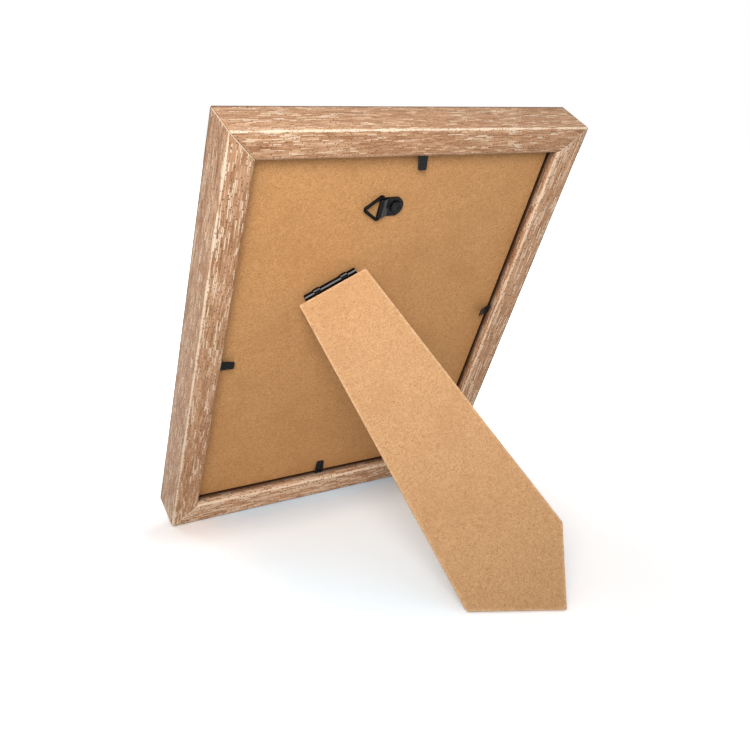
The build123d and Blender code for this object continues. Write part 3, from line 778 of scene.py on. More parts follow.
def grain_group(rails, grain, colours):
    """Limed grain along X, in millimetres: streaks, dashes, pores, rubbed edges, painted highlights and painted
    shade along some edges, and a rebate that is stained and darkened with painted shade.
    """
    inputs = [("Place", "Vector"), ("Half Length", "Float"), ("Shift", "Float"), ("Pale Mitre", "Float")]
    inputs += [("Limed", "Float"), ("Outer Rub", "Float"), ("Inner Rub", "Float"), ("Coarseness", "Float")]
    outputs = [("Color", "Color"), ("Roughness", "Float"), ("Height", "Float")]
    tree, given, made = new_tree("Limed grain", "ShaderNodeTree", inputs, outputs)
    x, y, z = split(tree, given["Place"])

    # The faces of a rail unrolled into one flat sheet, each rail on its own stretch of it
    outer_half = calc(tree, "LESS_THAN", y, rails.width / 2 / MM)
    front_zone = calc(tree, "LESS_THAN", z, (rails.sight_bevel - rails.depth) / MM)
    rising = calc(tree, "MAXIMUM", outer_half, front_zone)
    turned = calc(tree, "MULTIPLY", z, calc(tree, "MULTIPLY_ADD", rising, 2.0, -1.0))
    along = calc(tree, "DIVIDE", calc(tree, "ADD", x, given["Shift"]), given["Coarseness"])
    around = calc(tree, "DIVIDE", calc(tree, "ADD", y, turned), given["Coarseness"])
    spot = merge(tree, along, around)
    broad = cloud(tree, spot, BROAD_STREAKS, 4.0, 0.6)
    fine = cloud(tree, spot, FINE_STREAKS, 4.0, 0.65)
    patch = calc(tree, "ADD", cloud(tree, spot, LIME_PATCHES, 3.0), given["Limed"])
    streak = calc(tree, "MULTIPLY_ADD", fine, 0.6, calc(tree, "MULTIPLY", broad, 0.4))
    streak = calc(tree, "MULTIPLY_ADD", given["Limed"], 0.3, streak)
    pale, bright, line = dash_rows(tree, spot, patch, grain)
    pace = MM / grain.pore_spacing
    pore = dots(tree, spot, (pace, 1.25 * pace, 0.0), grain.pore / grain.pore_spacing, 0.75, "2D")

    # Rubbed edges, broken into runs, where the outer back edge's pale line is partly wear and partly a painted
    # highlight;
    # a painted shade along the outer back edge of the less rubbed rails; and a dark front edge
    sight = rails.width + rails.lip
    sight_edges = [(sight - rails.sight_bevel, -rails.depth), (sight, rails.sight_bevel - rails.depth)]
    rub = grain.rub / MM
    runs = cloud(tree, spot, RUB_RUNS, 3.0)
    wear = calc(tree, "ADD", fine, calc(tree, "MULTIPLY_ADD", runs, 3.0, -1.05))
    off_back = edge_distance(tree, y, z, [(0.0, 0.0)])
    # Pale line on the outer back edge: partly wear, partly a painted highlight
    ragged = calc(tree, "MULTIPLY_ADD", wear, -rub, off_back)
    rubbed = calc(tree, "MULTIPLY", fade(tree, ragged, 0.15 * rub, -0.45 * rub), given["Outer Rub"])
    ragged = calc(tree, "MULTIPLY_ADD", wear, -rub, edge_distance(tree, y, z, sight_edges))
    rubbed = calc(tree, "MAXIMUM", rubbed, fade(tree, ragged, 0.15 * rub, -0.45 * rub))
    # Painted shade along the outer back edge of the less rubbed rails
    edge_shade_share = calc(tree, "SUBTRACT", 0.8, given["Outer Rub"])
    painted_edge_shade = calc(tree, "MULTIPLY", fade(tree, off_back, 1.3, 0.4), calc(tree, "MAXIMUM", edge_shade_share, 0.0))
    front = fade(tree, edge_distance(tree, y, z, [(0.0, -rails.depth)]), 2.0, 0.4, 0.0, 0.8)

    # A painted highlight: a thin pale line where the back rolls over into the rebate
    roll = rails.inner_arris * (1 - sqrt(0.5))
    inner_edge = edge_distance(tree, y, z, [(rails.width - roll, -roll)])
    inner_highlight_line = fade(tree, inner_edge, 0.75, 0.3, 0.0, 0.9)
    inner_highlight = calc(tree, "MULTIPLY", inner_highlight_line, fade(tree, wear, 0.2, 0.9, 0.35, 1.0))
    inner_highlight = calc(tree, "MULTIPLY", inner_highlight, given["Inner Rub"])

    # Rebate, darker towards the back panel, partly stain and partly painted shade, and the mitres
    inner = fade(tree, y, (rails.width - 0.5 * MM) / MM, (rails.width - 0.1 * MM) / MM)
    above_lip = fade(tree, z, -(rails.rabbet + 0.3 * MM) / MM, -(rails.rabbet - 0.1 * MM) / MM)
    depth = fade(tree, z, -1.2, -grain.stain_and_shade / MM)
    stain_and_shade = calc(tree, "MULTIPLY", calc(tree, "MULTIPLY", inner, above_lip), depth)
    past = calc(tree, "SUBTRACT", given["Half Length"], calc(tree, "ABSOLUTE", x))
    off_mitre = calc(tree, "MULTIPLY", calc(tree, "SUBTRACT", past, y), sqrt(0.5))
    mitre = grain.mitre / MM
    pale_line = fade(tree, off_mitre, mitre, 0.5 * mitre, 0.0, 0.9)
    dark_line = fade(tree, off_mitre, 0.7 * mitre, 0.3 * mitre, 0.0, 0.8)
    mitre_pale = calc(tree, "MULTIPLY", pale_line, given["Pale Mitre"])
    mitre_dark = calc(tree, "MULTIPLY", dark_line, calc(tree, "SUBTRACT", 1.0, given["Pale Mitre"]))

    shade = tint(tree, fade(tree, streak, 0.35, 0.6), opaque(colours.grain_dark), opaque(colours.grain))
    dark = calc(tree, "MAXIMUM", stain_and_shade, calc(tree, "MAXIMUM", front, painted_edge_shade))
    coats = (
        (pale, 0.6, colours.lime),
        (line, 0.6, colours.grain_dark),
        (bright, 0.85, colours.wear_and_highlight),
        (rubbed, 0.85, colours.wear_and_highlight),
        (inner_highlight, 1.0, colours.wear_and_highlight),
        (pore, 0.95, colours.pore),
        (mitre_pale, 1.0, colours.wear_and_highlight),
        (mitre_dark, 1.0, colours.pore),
        (dark, 1.0, colours.stain_and_shade),
    )
    for mask, strength, over in coats:
        shade = tint(tree, calc(tree, "MULTIPLY", mask, strength), shade, opaque(over))
    hollow = calc(tree, "MAXIMUM", pore, calc(tree, "MULTIPLY", line, 0.6))
    relief = calc(tree, "MULTIPLY_ADD", bright, 0.4, calc(tree, "MULTIPLY_ADD", streak, 0.4, 0.5))
    tree.links.new(shade, made["Color"])
    tree.links.new(fade(tree, streak, 0.3, 0.7, 0.6, 0.48), made["Roughness"])
    tree.links.new(calc(tree, "MULTIPLY_ADD", hollow, -0.5, relief), made["Height"])
    return tree


def rail_finish(side, group, rails, grain):
    """Limed and lacquered wood with its grain along one rail."""
    material, tree, shader, where = new_material(f"limed_wood_{side}")
    values = {
        "Place": seen_from(tree, where, rail_place(side, rails)),
        "Half Length": rail_size(side, rails)[0] / 2 / MM,
        "Shift": SIDES.index(side) * 2 * outer_height(rails) / MM,
        "Pale Mitre": float(side != "top"),
        **RAIL_WEAR_AND_LIGHT[side],
    }
    wood = put(tree, "ShaderNodeGroup", values, node_tree=group).outputs
    relief = bump(tree, wood["Height"], grain.relief)
    fill(tree, shader, {"Base Color": wood["Color"], "Roughness": wood["Roughness"], "Normal": relief})
    fill(tree, shader, {"Specular IOR Level": WOOD_GLOSS})
    fill(tree, shader, {"Coat Weight": WOOD_COAT, "Coat Roughness": WOOD_COAT_ROUGHNESS})
    return material


def fibre_group(colours):
    """Pressed fibreboard, in metres: fine fibres, broad mottling and a few dark specks."""
    inputs = [("Place", "Vector"), ("Rim", "Float")]
    inputs += [("Ground", "Color"), ("Dark", "Color"), ("Pale", "Color")]
    outputs = [("Color", "Color"), ("Roughness", "Float"), ("Height", "Float")]
    tree, given, made = new_tree("Fibreboard", "ShaderNodeTree", inputs, outputs)
    place = in_millimetres(tree, given["Place"])
    fine = cloud(tree, place, FINE_FIBRES, 4.0, 0.75)
    fibres = cloud(tree, place, LONG_FIBRES, 5.0, 0.68, 1.6)
    mottle = cloud(tree, place, MOTTLING, 3.0)
    specks = dots(tree, place, DARK_SPECKS, 0.13, 0.45)
    pale_specks = dots(tree, place, PALE_SPECKS, 0.16, 0.45)
    grit = calc(tree, "MULTIPLY_ADD", fine, 0.6, calc(tree, "MULTIPLY", fibres, 0.4))
    shade = tint(tree, fade(tree, grit, 0.4, 0.57), given["Dark"], given["Ground"])
    shade = tint(tree, fade(tree, mottle, 0.42, 0.75, 0.0, 0.35), shade, given["Dark"])
    shade = tint(tree, calc(tree, "MULTIPLY", pale_specks, 0.4), shade, given["Pale"])
    shade = tint(tree, calc(tree, "MULTIPLY", specks, 0.65), shade, opaque(colours.speck))
    # Pale rims: partly rubbed cut edges, partly painted edge highlights
    rubbed = calc(tree, "MULTIPLY", given["Rim"], fade(tree, fibres, 0.35, 0.65, 0.1, 0.6))
    shade = tint(tree, rubbed, shade, given["Pale"])
    tree.links.new(shade, made["Color"])
    tree.links.new(fade(tree, fibres, 0.3, 0.7, 0.74, 0.62), made["Roughness"])
    tree.links.new(grit, made["Height"])
    return tree


def fibre_finish(name, group, ground, dark, pale, rubbed):
    """Fibreboard, with or without pale rims, which on the leg are partly rubbed cut edges and partly painted
    highlights.
    """
    material, tree, shader, where = new_material(name)
    values = {"Place": where, "Ground": opaque(ground), "Dark": opaque(dark), "Pale": opaque(pale)}
    if rubbed:
        values["Rim"] = put(tree, "ShaderNodeAttribute", attribute_name="rim").outputs["Fac"]
    board = put(tree, "ShaderNodeGroup", values, node_tree=group).outputs
    relief = bump(tree, board["Height"], BOARD_RELIEF)
    fill(tree, shader, {"Base Color": board["Color"], "Roughness": board["Roughness"], "Normal": relief})
    fill(tree, shader, {"Specular IOR Level": BOARD_GLOSS})
    return material


def paint_finish(colours, name, gloss):
    """Black satin paint on steel, with a fine orange peel and rubbed edges."""
    material, tree, shader, where = new_material(name)
    place = in_millimetres(tree, where)
    peel = cloud(tree, place, ORANGE_PEEL, 2.0)
    scuff = cloud(tree, place, SCUFFS, 5.0, 0.7)
    rim = put(tree, "ShaderNodeAttribute", attribute_name="rim").outputs["Fac"]
    rubbed = calc(tree, "MULTIPLY", rim, fade(tree, scuff, 0.42, 0.62, 0.05, 0.45))
    dust = fade(tree, scuff, 0.5, 0.8, 0.0, 0.14)
    shade = tint(tree, calc(tree, "MAXIMUM", rubbed, dust), opaque(colours.paint), opaque(colours.paint_worn))
    fill(tree, shader, {"Base Color": shade, "Roughness": fade(tree, scuff, 0.3, 0.7, 0.2, 0.34)})
    fill(tree, shader, {"Specular IOR Level": gloss, "Normal": bump(tree, peel, PAINT_RELIEF)})
    return material


def highlight_line_finish(colours, name, tilt):
    """Black paint of a hinge leaf, with a painted highlight as a thin pale line along the crest of its knuckles.
    """
    material = paint_finish(colours, name, HINGE_GLOSS)
    tree = material.node_tree
    shader = tree.nodes["Principled BSDF"]
    painted = shader.inputs["Base Color"].links[0].from_socket
    where = put(tree, "ShaderNodeTexCoord").outputs["Object"]
    # Painted highlight: a thin pale line along the knuckles, at a set turn about the pin
    highlight_way = OUT * sin(tilt) - DOWN_BACK * cos(tilt)
    crest = placed(PIN, PIN_ALONG, highlight_way, PIN_ALONG.cross(highlight_way))
    _, y, z = split(tree, seen_from(tree, where, crest))
    line = fade(tree, calc(tree, "ABSOLUTE", z), *HIGHLIGHT_LINE_WIDTH, 0.0, HIGHLIGHT_LINE_STRENGTH)
    line = calc(tree, "MULTIPLY", line, fade(tree, y, *HIGHLIGHT_LINE_HEIGHT))
    fill(tree, shader, {"Base Color": tint(tree, line, painted, opaque(colours.crest))})
    return material


def steel_finish(colours):
    """Bare steel, dulled by handling."""
    material, tree, shader, where = new_material("bare_steel")
    place = in_millimetres(tree, where)
    brush = cloud(tree, place, BRUSHING, 3.0)
    dulled = fade(tree, brush, 0.35, 0.65, 0.0, 0.3)
    shade = tint(tree, dulled, opaque(colours.steel), opaque(colours.paint_worn))
    fill(tree, shader, {"Base Color": shade, "Roughness": fade(tree, brush, 0.3, 0.7, 0.28, 0.42)})
    fill(tree, shader, {"Metallic": 1.0, "Normal": bump(tree, brush, STEEL_RELIEF)})
    return material


def glass_finish():
    """Clear picture glass, a little smeared."""
    material, tree, shader, where = new_material("picture_glass")
    smear = cloud(tree, where, GLASS_SMEARS, 4.0, 0.6, 0.8)
    fill(tree, shader, {"Base Color": GLASS_TINT, "Roughness": fade(tree, smear, 0.5, 0.8, 0.0, 0.06)})
    fill(tree, shader, {"IOR": GLASS_IOR, "Transmission Weight": 1.0})
    return material


def card_finish(colours):
    """Plain smooth card, faintly toothed."""
    material, tree, shader, where = new_material("plain_card")
    place = in_millimetres(tree, where)
    tooth = cloud(tree, place, CARD_TOOTH, 4.0, 0.7)
    shadow = tuple(channel * 0.9 for channel in colours.card)
    shade = tint(tree, fade(tree, tooth, 0.35, 0.65), opaque(shadow), opaque(colours.card))
    fill(tree, shader, {"Base Color": shade, "Roughness": fade(tree, tooth, 0.3, 0.7, 0.72, 0.6)})
    fill(tree, shader, {"Specular IOR Level": CARD_GLOSS, "Normal": bump(tree, tooth, CARD_RELIEF)})
    return material


def shared(name, make, *values):
    """Material that several pieces share, made the first time that it is asked for."""
    return bpy.data.materials.get(name) or make(*values)


def paint(context):
    """Black paint of the tabs, the strap, the pin and the rivets."""
    name = "black_satin_paint"
    return shared(name, paint_finish, context.scene.frame_colours, name, PAINT_GLOSS)


def steel(context):
    """Steel of the hidden fittings."""
    return shared("bare_steel", steel_finish, context.scene.frame_colours)


def fibreboard(context, name, ground, dark, pale, rubbed):
    """Fibreboard in its own three tones."""
    group = bpy.data.node_groups.get("Fibreboard") or fibre_group(context.scene.frame_colours)
    return shared(name, fibre_finish, name, group, ground, dark, pale, rubbed)


# Pieces


def rail_profile(rails):
    """Section of a rail, inward and out of the back, drawn anticlockwise."""
    lip_edge = rails.width + rails.lip
    corners = [
        (0.0, 0.0),
        (0.0, -rails.depth),
        (lip_edge - rails.sight_bevel, -rails.depth),
        (lip_edge, rails.sight_bevel - rails.depth),
        (lip_edge, -rails.rabbet),
        (rails.width, -rails.rabbet),
        (rails.width, 0.0),
    ]
    small = rails.sight_round
    radii = [rails.back_arris, rails.front_arris, small, small, small / 2, small / 4, rails.inner_arris]
    return rounded_outline(corners, radii)


def rail_tree():
    """Sweep a section along a rail, with mitred ends and rounded outer corners."""
    inputs = [("Profile", "Object"), ("Length", "Float"), ("Corner Round", "Float"), ("Mitre Gap", "Float")]
    inputs += [("Sections", "Int"), ("Finish", "Material")]
    tree, given, made = new_tree("Mitred rail", "GeometryNodeTree", inputs, [("Rail", "Geometry")])
    line = put(tree, "GeometryNodeCurvePrimitiveLine", {"Start": (-1.0, 0.0, 0.0), "End": (1.0, 0.0, 0.0)})
    path = put(tree, "GeometryNodeResampleCurve", {0: line.outputs[0], "Count": given["Sections"]})
    section = put(tree, "GeometryNodeObjectInfo", {"Object": given["Profile"]}).outputs["Geometry"]
    values = {"Curve": path.outputs[0], "Profile Curve": section, "Fill Caps": True}
    sweep = put(tree, "GeometryNodeCurveToMesh", values)
    x, y, z = split(tree, put(tree, "GeometryNodeInputPosition").outputs[0])

    # Rings stand closer towards the ends, where the outer corner dips in along a quarter circle
    share = calc(tree, "SINE", calc(tree, "MULTIPLY", x, pi / 2))
    half = calc(tree, "SUBTRACT", calc(tree, "MULTIPLY", given["Length"], 0.5), given["Mitre Gap"])
    end = calc(tree, "MULTIPLY", half, calc(tree, "SUBTRACT", 1.0, calc(tree, "ABSOLUTE", share)))
    corner = given["Corner Round"]
    swing = calc(tree, "DIVIDE", end, calc(tree, "MULTIPLY", corner, sqrt(2)))
    swing = calc(tree, "ARCSINE", calc(tree, "MINIMUM", swing, sqrt(0.5)))
    swing = calc(tree, "SINE", calc(tree, "ADD", swing, pi / 4))
    dip = calc(tree, "MULTIPLY", corner, calc(tree, "SUBTRACT", 1.0, swing))
    outer = calc(tree, "MAXIMUM", calc(tree, "SUBTRACT", 1.0, calc(tree, "DIVIDE", y, corner)), 0.0)
    inward = calc(tree, "MULTIPLY_ADD", dip, outer, y)
    along = calc(tree, "MULTIPLY", share, calc(tree, "SUBTRACT", half, inward))
    spot = merge(tree, along, inward, z)
    mitred = put(tree, "GeometryNodeSetPosition", {0: sweep.outputs[0], "Position": spot})
    end_tree(tree, mitred.outputs[0], given["Finish"], made)
    return tree


class FRAME_OT_rails(bpy.types.Operator):
    """Build the four limed rails"""

    bl_idname = "photo_frame.rails"
    bl_label = "Rails"

    def execute(self, context):
        rails = context.scene.frame_rails
        grain = context.scene.frame_grain
        group = grain_group(rails, grain, context.scene.frame_colours)
        tree = rail_tree()
        section = bpy.data.curves.new("rail_section", "CURVE")
        spline = section.splines.new("POLY")
        outline = rail_profile(rails)
        spline.points.add(len(outline) - 1)
        # A swept section is turned by half a circle, so it is drawn turned
        for knot, point in zip(spline.points, outline):
            knot.co = (-point.x, -point.y, 0.0, 1.0)
        spline.use_cyclic_u = True
        profile = loose("rail_section", section)
        for side in SIDES:
            wood = rail_finish(side, group, rails, grain)
            values = {
                "Profile": profile,
                "Length": rail_size(side, rails)[0],
                "Corner Round": rails.corner_round,
                "Mitre Gap": rails.mitre_gap,
                "Sections": rails.sections,
                "Finish": wood,
            }
            mesh = grown(tree, values)
            mesh.transform(rail_place(side, rails))
            piece(f"limed_rail_{side}", mesh, "frame", "rail_finish", wood, f"rail_{side}")
        bpy.data.objects.remove(profile)
        dress("corner_nails", steel(context))
        return {"FINISHED"}


def sheet_in_rabbet(rails, gap, thickness, edge, rim, out):
    """Pane or card that lies in the rabbet."""
    half_width = OUTER_WIDTH / 2 - rails.width - gap
    half_height = outer_height(rails) / 2 - rails.width - gap
    corners = [
        (-half_width, -half_height),
        (half_width, -half_height),
        (half_width, half_height),
        (-half_width, half_height),
    ]
    shell = plate(corners, [2 * edge] * len(corners), thickness, edge, rim)
    return shell, placed(on_back(0.0, 0.0, out), ACROSS, UP, OUT)


class FRAME_OT_layers(bpy.types.Operator):
    """Build the glass and the card, and finish the back panel"""

    bl_idname = "photo_frame.layers"
    bl_label = "Back, card and glass"

    def execute(self, context):
        rails = context.scene.frame_rails
        layers = context.scene.frame_layers
        shades = context.scene.frame_colours
        tones = (shades.board, shades.board_dark, shades.board_pale)
        dress("back_panel", fibreboard(context, "back_fibreboard", *tones, False))
        dress("hanger_washer", steel(context))
        card_back = -layers.recess - layers.panel
        card_front = card_back - layers.card
        edge = layers.card_edge
        shell, place = sheet_in_rabbet(rails, layers.card_gap, layers.card, edge, 4 * edge, card_front)
        card = card_finish(shades)
        piece("picture_card", as_mesh("card", shell, place), "frame", "card", card, "photo_insert")
        spare = (layers.glass_bed - layers.glass) / 2
        glass_front = card_back - layers.card_bed - layers.glass_bed + spare
        edge = layers.glass_edge
        shell, place = sheet_in_rabbet(rails, layers.glass_gap, layers.glass, edge, 2 * edge, glass_front)
        glass = glass_finish()
        piece("picture_glass", as_mesh("glass", shell, place), "frame", "glass", glass, "glass_pane")
        return {"FINISHED"}


def folded_spot(across, up):
    """Place of a point of the folded leg: along the pin and down from it."""
    offset = on_back(across, up, 0.0) - PIN
    return offset.dot(PIN_ALONG), offset.dot(DOWN_BACK)


class FRAME_OT_leg(bpy.types.Operator):
    """Build the strut leg"""

    bl_idname = "photo_frame.leg"
    bl_label = "Strut leg"

    def execute(self, context):
        rails = context.scene.frame_rails
        leg = context.scene.frame_leg
        hinge = context.scene.frame_hinge
        down, outward = leg_directions(leg)
        foot_side = OUTER_WIDTH / 2 - rails.width - leg.foot_side_gap
        foot_up = leg.foot_inset - outer_height(rails) / 2
        toe = folded_spot(foot_side, foot_up)
        knee = folded_spot(foot_side, foot_up + leg.foot_rise)
        floor_line = outward.cross(Vector((0.0, 0.0, 1.0))).normalized()
        if floor_line.dot(PIN_ALONG) > 0:
            floor_line = -floor_line
        heel = (
            toe[0] + floor_line.dot(PIN_ALONG) * leg.foot_length,
            toe[1] + floor_line.dot(down) * leg.foot_length,
        )
        half_top = leg.top_width / 2
        top_drop = sqrt((hinge.knuckle + leg.top_gap) ** 2 - leg.offset**2)
        corners = [(-half_top, top_drop), heel, toe, knee, (half_top, top_drop)]
        corners = [(along, -drop) for along, drop in corners]
        radii = [leg.top_round, leg.foot_round, leg.top_round, leg.foot_round, leg.top_round]
        shell = plate(corners, radii, leg.thickness, leg.edge, leg.rim)
        place = placed(PIN + outward * leg.offset, PIN_ALONG, -down, outward)
        shades = context.scene.frame_colours
        board = fibreboard(context, "leg_fibreboard", shades.leg, shades.leg_dark, shades.leg_pale, True)
        piece("strut_leg", as_mesh("leg", shell, place), "leg", "fibreboard", board, "easel_leg")
        return {"FINISHED"}


def rolled_knuckle(radius, bore, leaf_face, leaf_back, notch, seam):
    """Section of a leaf rolled round the pin: the leaf lies below the pin, from its face to its back."""
    close = asin((-leaf_face - seam) / radius)
    turns = evenly(1.5 * pi, -close, ROUND_STEPS)
    outer = [(radius * cos(turn), radius * sin(turn)) for turn in turns]
    inner = [(bore * cos(turn), bore * sin(turn)) for turn in reversed(turns)]
    return [(notch, leaf_back), *outer, *inner, (notch, leaf_face)]


def centred_knuckle(radius, bore, low, high, notch, seam):
    """Section of a leaf that meets the middle of its knuckle, which is rolled up to the leaf's underside."""
    turns = evenly(asin(high / radius), 2 * pi + asin((low - seam) / radius), ROUND_STEPS)
    outer = [(radius * cos(turn), radius * sin(turn)) for turn in turns]
    turns = evenly(2 * pi + asin((low - seam) / bore), asin(low / bore), ROUND_STEPS)
    inner = [(bore * cos(turn), bore * sin(turn)) for turn in turns]
    return [(notch, high), *outer, *inner, (notch, low)]


def rivet_tree():
    """Row of like rivets."""
    inputs = [("Rivet", "Object"), ("Count", "Int"), ("Spacing", "Float"), ("Finish", "Material")]
    tree, given, made = new_tree("Rivet row", "GeometryNodeTree", inputs, [("Rivets", "Geometry")])
    gaps = calc(tree, "SUBTRACT", given["Count"], 1.0)
    first = calc(tree, "MULTIPLY", calc(tree, "MULTIPLY", gaps, given["Spacing"]), -0.5)
    step = merge(tree, given["Spacing"])
    values = {"Count": given["Count"], "Start Location": merge(tree, first), "Offset": step}
    row = put(tree, "GeometryNodeMeshLine", values)
    rivet = put(tree, "GeometryNodeObjectInfo", {"Object": given["Rivet"]}).outputs["Geometry"]
    rivets = put(tree, "GeometryNodeInstanceOnPoints", {"Points": row.outputs[0], "Instance": rivet})
    real = put(tree, "GeometryNodeRealizeInstances", {0: rivets.outputs[0]})
    end_tree(tree, real.outputs[0], given["Finish"], made)
    return tree


def domed_head(head, rise, shank, bite):
    """Rivet that stands on Z = 0: shank below, low dome above."""
    swings = evenly(0.0, pi / 2, ARC_STEPS)
    dome = [(head * cos(swing), rise * (HEAD_WALL + (1 - HEAD_WALL) * sin(swing))) for swing in swings]
    return [(0.0, -bite), (shank, -bite), (shank, 0.0), (head, 0.0), *dome]


class FRAME_OT_hinge(bpy.types.Operator):
    """Build the hinge of the leg: two rolled leaves, the pin and the rivets"""

    bl_idname = "photo_frame.hinge"
    bl_label = "Hinge"

    def execute(self, context):
        hinge = context.scene.frame_hinge
        offset = context.scene.frame_leg.offset
        down = leg_directions(context.scene.frame_leg)[0]
        colours = context.scene.frame_colours
        black = paint(context)
        ends = [hinge.span * (0.5 - share) for share in KNUCKLE_SHARES]
        spans = list(zip(ends[1:], ends))
        board = placed(PIN, PIN_ALONG, DOWN_BACK, PIN_ALONG.cross(DOWN_BACK))
        leg = placed(PIN, PIN_ALONG, down, PIN_ALONG.cross(down))

        # Leaf on the back panel, with a knuckle at both ends and in the middle
        face = hinge.leaf - hinge.knuckle
        section = rolled_knuckle(hinge.knuckle, hinge.bore, face, -hinge.knuckle, hinge.notch, hinge.seam)
        trims = ((hinge.gap, 0.0), (hinge.gap, hinge.gap), (0.0, hinge.gap))
        shells = [self.leaf(hinge, -hinge.knuckle, face, board)]
        for (start, end), (low, high) in zip(spans[0::2], trims):
            shells.append(prism(self.facing(section), start + low, end - high, board))
        mesh = softened(as_mesh("board leaf", joined(*shells)), hinge.edge)
        # Its knuckles carry a painted highlight line
        rubbed = highlight_line_finish(colours, "black_paint_board_leaf", HIGHLIGHT_LINE_ON_BACK)
        piece("hinge_leaf_on_back", mesh, "frame", "black_steel", rubbed, "hinge_board_leaf")

        # Leaf on the leg, with two knuckles and the heels that stop it
        underside = offset - hinge.leaf
        section = centred_knuckle(hinge.eye, hinge.bore, underside, offset, hinge.notch, hinge.seam)
        floor = hinge.stop_gap - hinge.knuckle
        wedge = [
            (-hinge.bore, floor),
            (-hinge.heel_reach, floor),
            (-hinge.heel_reach, floor + hinge.heel),
            (-hinge.bore, hinge.bore),
        ]
        shells = [self.leaf(hinge, underside, offset, leg)]
        for start, end in spans[1::2]:
            shells.append(prism(self.facing(section), start, end, leg))
            shells.append(prism(self.facing(wedge), start, end, board))
        mesh = softened(as_mesh("leg leaf", joined(*shells)), hinge.edge)
        # Its knuckles carry a painted highlight line
        rubbed = highlight_line_finish(colours, "black_paint_leg_leaf", HIGHLIGHT_LINE_ON_LEG)
        piece("hinge_leaf_on_leg", mesh, "leg", "black_steel", rubbed, "hinge_leg_leaf")

        self.pin(hinge, black)
        tree = rivet_tree()
        board_face = board @ Matrix.Translation((0.0, hinge.rivet_drop, -face)) @ Matrix.Rotation(pi, 4, "X")
        leg_face = leg @ Matrix.Translation((0.0, hinge.rivet_drop, -underside))
        rivets = (
            ("back", "frame", "hinge_board_rivets", hinge.leaf, board_face),
            ("leg", "leg", "hinge_leg_rivets", hinge.leaf + hinge.rivet_bite, leg_face),
        )
        for name, body, node, bite, place in rivets:
            mesh = self.rivets(hinge, tree, bite, black)
            mesh.transform(place)
            piece(f"hinge_rivets_{name}", mesh, body, "black_steel", black, node)
        return {"FINISHED"}

    def facing(self, outline):
        """Section of drop and height, with height out of the back."""
        return [(drop, -out) for drop, out in outline]

    def leaf(self, hinge, low, high, place):
        """Flat part of a leaf."""
        outline = [(hinge.notch, low), (hinge.leaf_drop, low), (hinge.leaf_drop, high), (hinge.notch, high)]
        return prism(self.facing(outline), -hinge.span / 2, hinge.span / 2, place)

    def pin(self, hinge, black):
        """Pin with crowned ends."""
        half = hinge.span / 2
        crown = hinge.pin / 3
        swings = evenly(0.0, pi / 2, ARC_STEPS)
        cap = [(hinge.pin * cos(swing), half - crown + crown * sin(swing)) for swing in swings]
        profile = [(radius, -height) for radius, height in reversed(cap)] + cap
        place = placed(PIN, DOWN_BACK, -OUT, PIN_ALONG)
        mesh = as_mesh("pin", lathe(profile), place)
        piece("hinge_pin_crowned", mesh, "frame", "black_steel", black, "hinge_pin")

    def rivets(self, hinge, tree, bite, black):
        """The two rivets of a leaf."""
        profile = domed_head(hinge.rivet_head, hinge.rivet_rise, hinge.rivet_shank, bite)
        rivet = loose("rivet", as_mesh("rivet", lathe(profile)))
        values = {"Rivet": rivet, "Count": LEAF_RIVETS, "Spacing": hinge.rivet_spacing, "Finish": black}
        mesh = grown(tree, values)
        bpy.data.objects.remove(rivet)
        return mesh


def ring_tree():
    """Wire bent into a triangle, with its bar on the Y axis and its point at +X."""
    inputs = [(name, "Float") for name in ("Base", "Height", "Bend", "Wire")] + [("Finish", "Material")]
    tree, given, made = new_tree("Wire ring", "GeometryNodeTree", inputs, [("Ring", "Geometry")])
    triangle = put(tree, "GeometryNodeCurvePrimitiveCircle", {"Resolution": 3, "Radius": 1.0})
    # A circle of three points is 1.5 high and has sides of root 3
    high = calc(tree, "DIVIDE", given["Height"], 1.5)
    wide = calc(tree, "DIVIDE", given["Base"], sqrt(3))
    scale = merge(tree, high, wide, 1.0)
    shift = merge(tree, calc(tree, "MULTIPLY", high, 0.5))
    values = {0: triangle.outputs[0], "Scale": scale, "Translation": shift}
    shaped = put(tree, "GeometryNodeTransform", values)
    values = {0: shaped.outputs[0], "Count": BEND_STEPS, "Radius": given["Bend"]}
    bent = put(tree, "GeometryNodeFilletCurve", values, mode="POLY")
    values = {"Resolution": WIRE_STEPS, "Radius": given["Wire"]}
    round_wire = put(tree, "GeometryNodeCurvePrimitiveCircle", values)
    values = {"Curve": bent.outputs[0], "Profile Curve": round_wire.outputs[0]}
    wire = put(tree, "GeometryNodeCurveToMesh", values)
    end_tree(tree, wire.outputs[0], given["Finish"], made)
    return tree


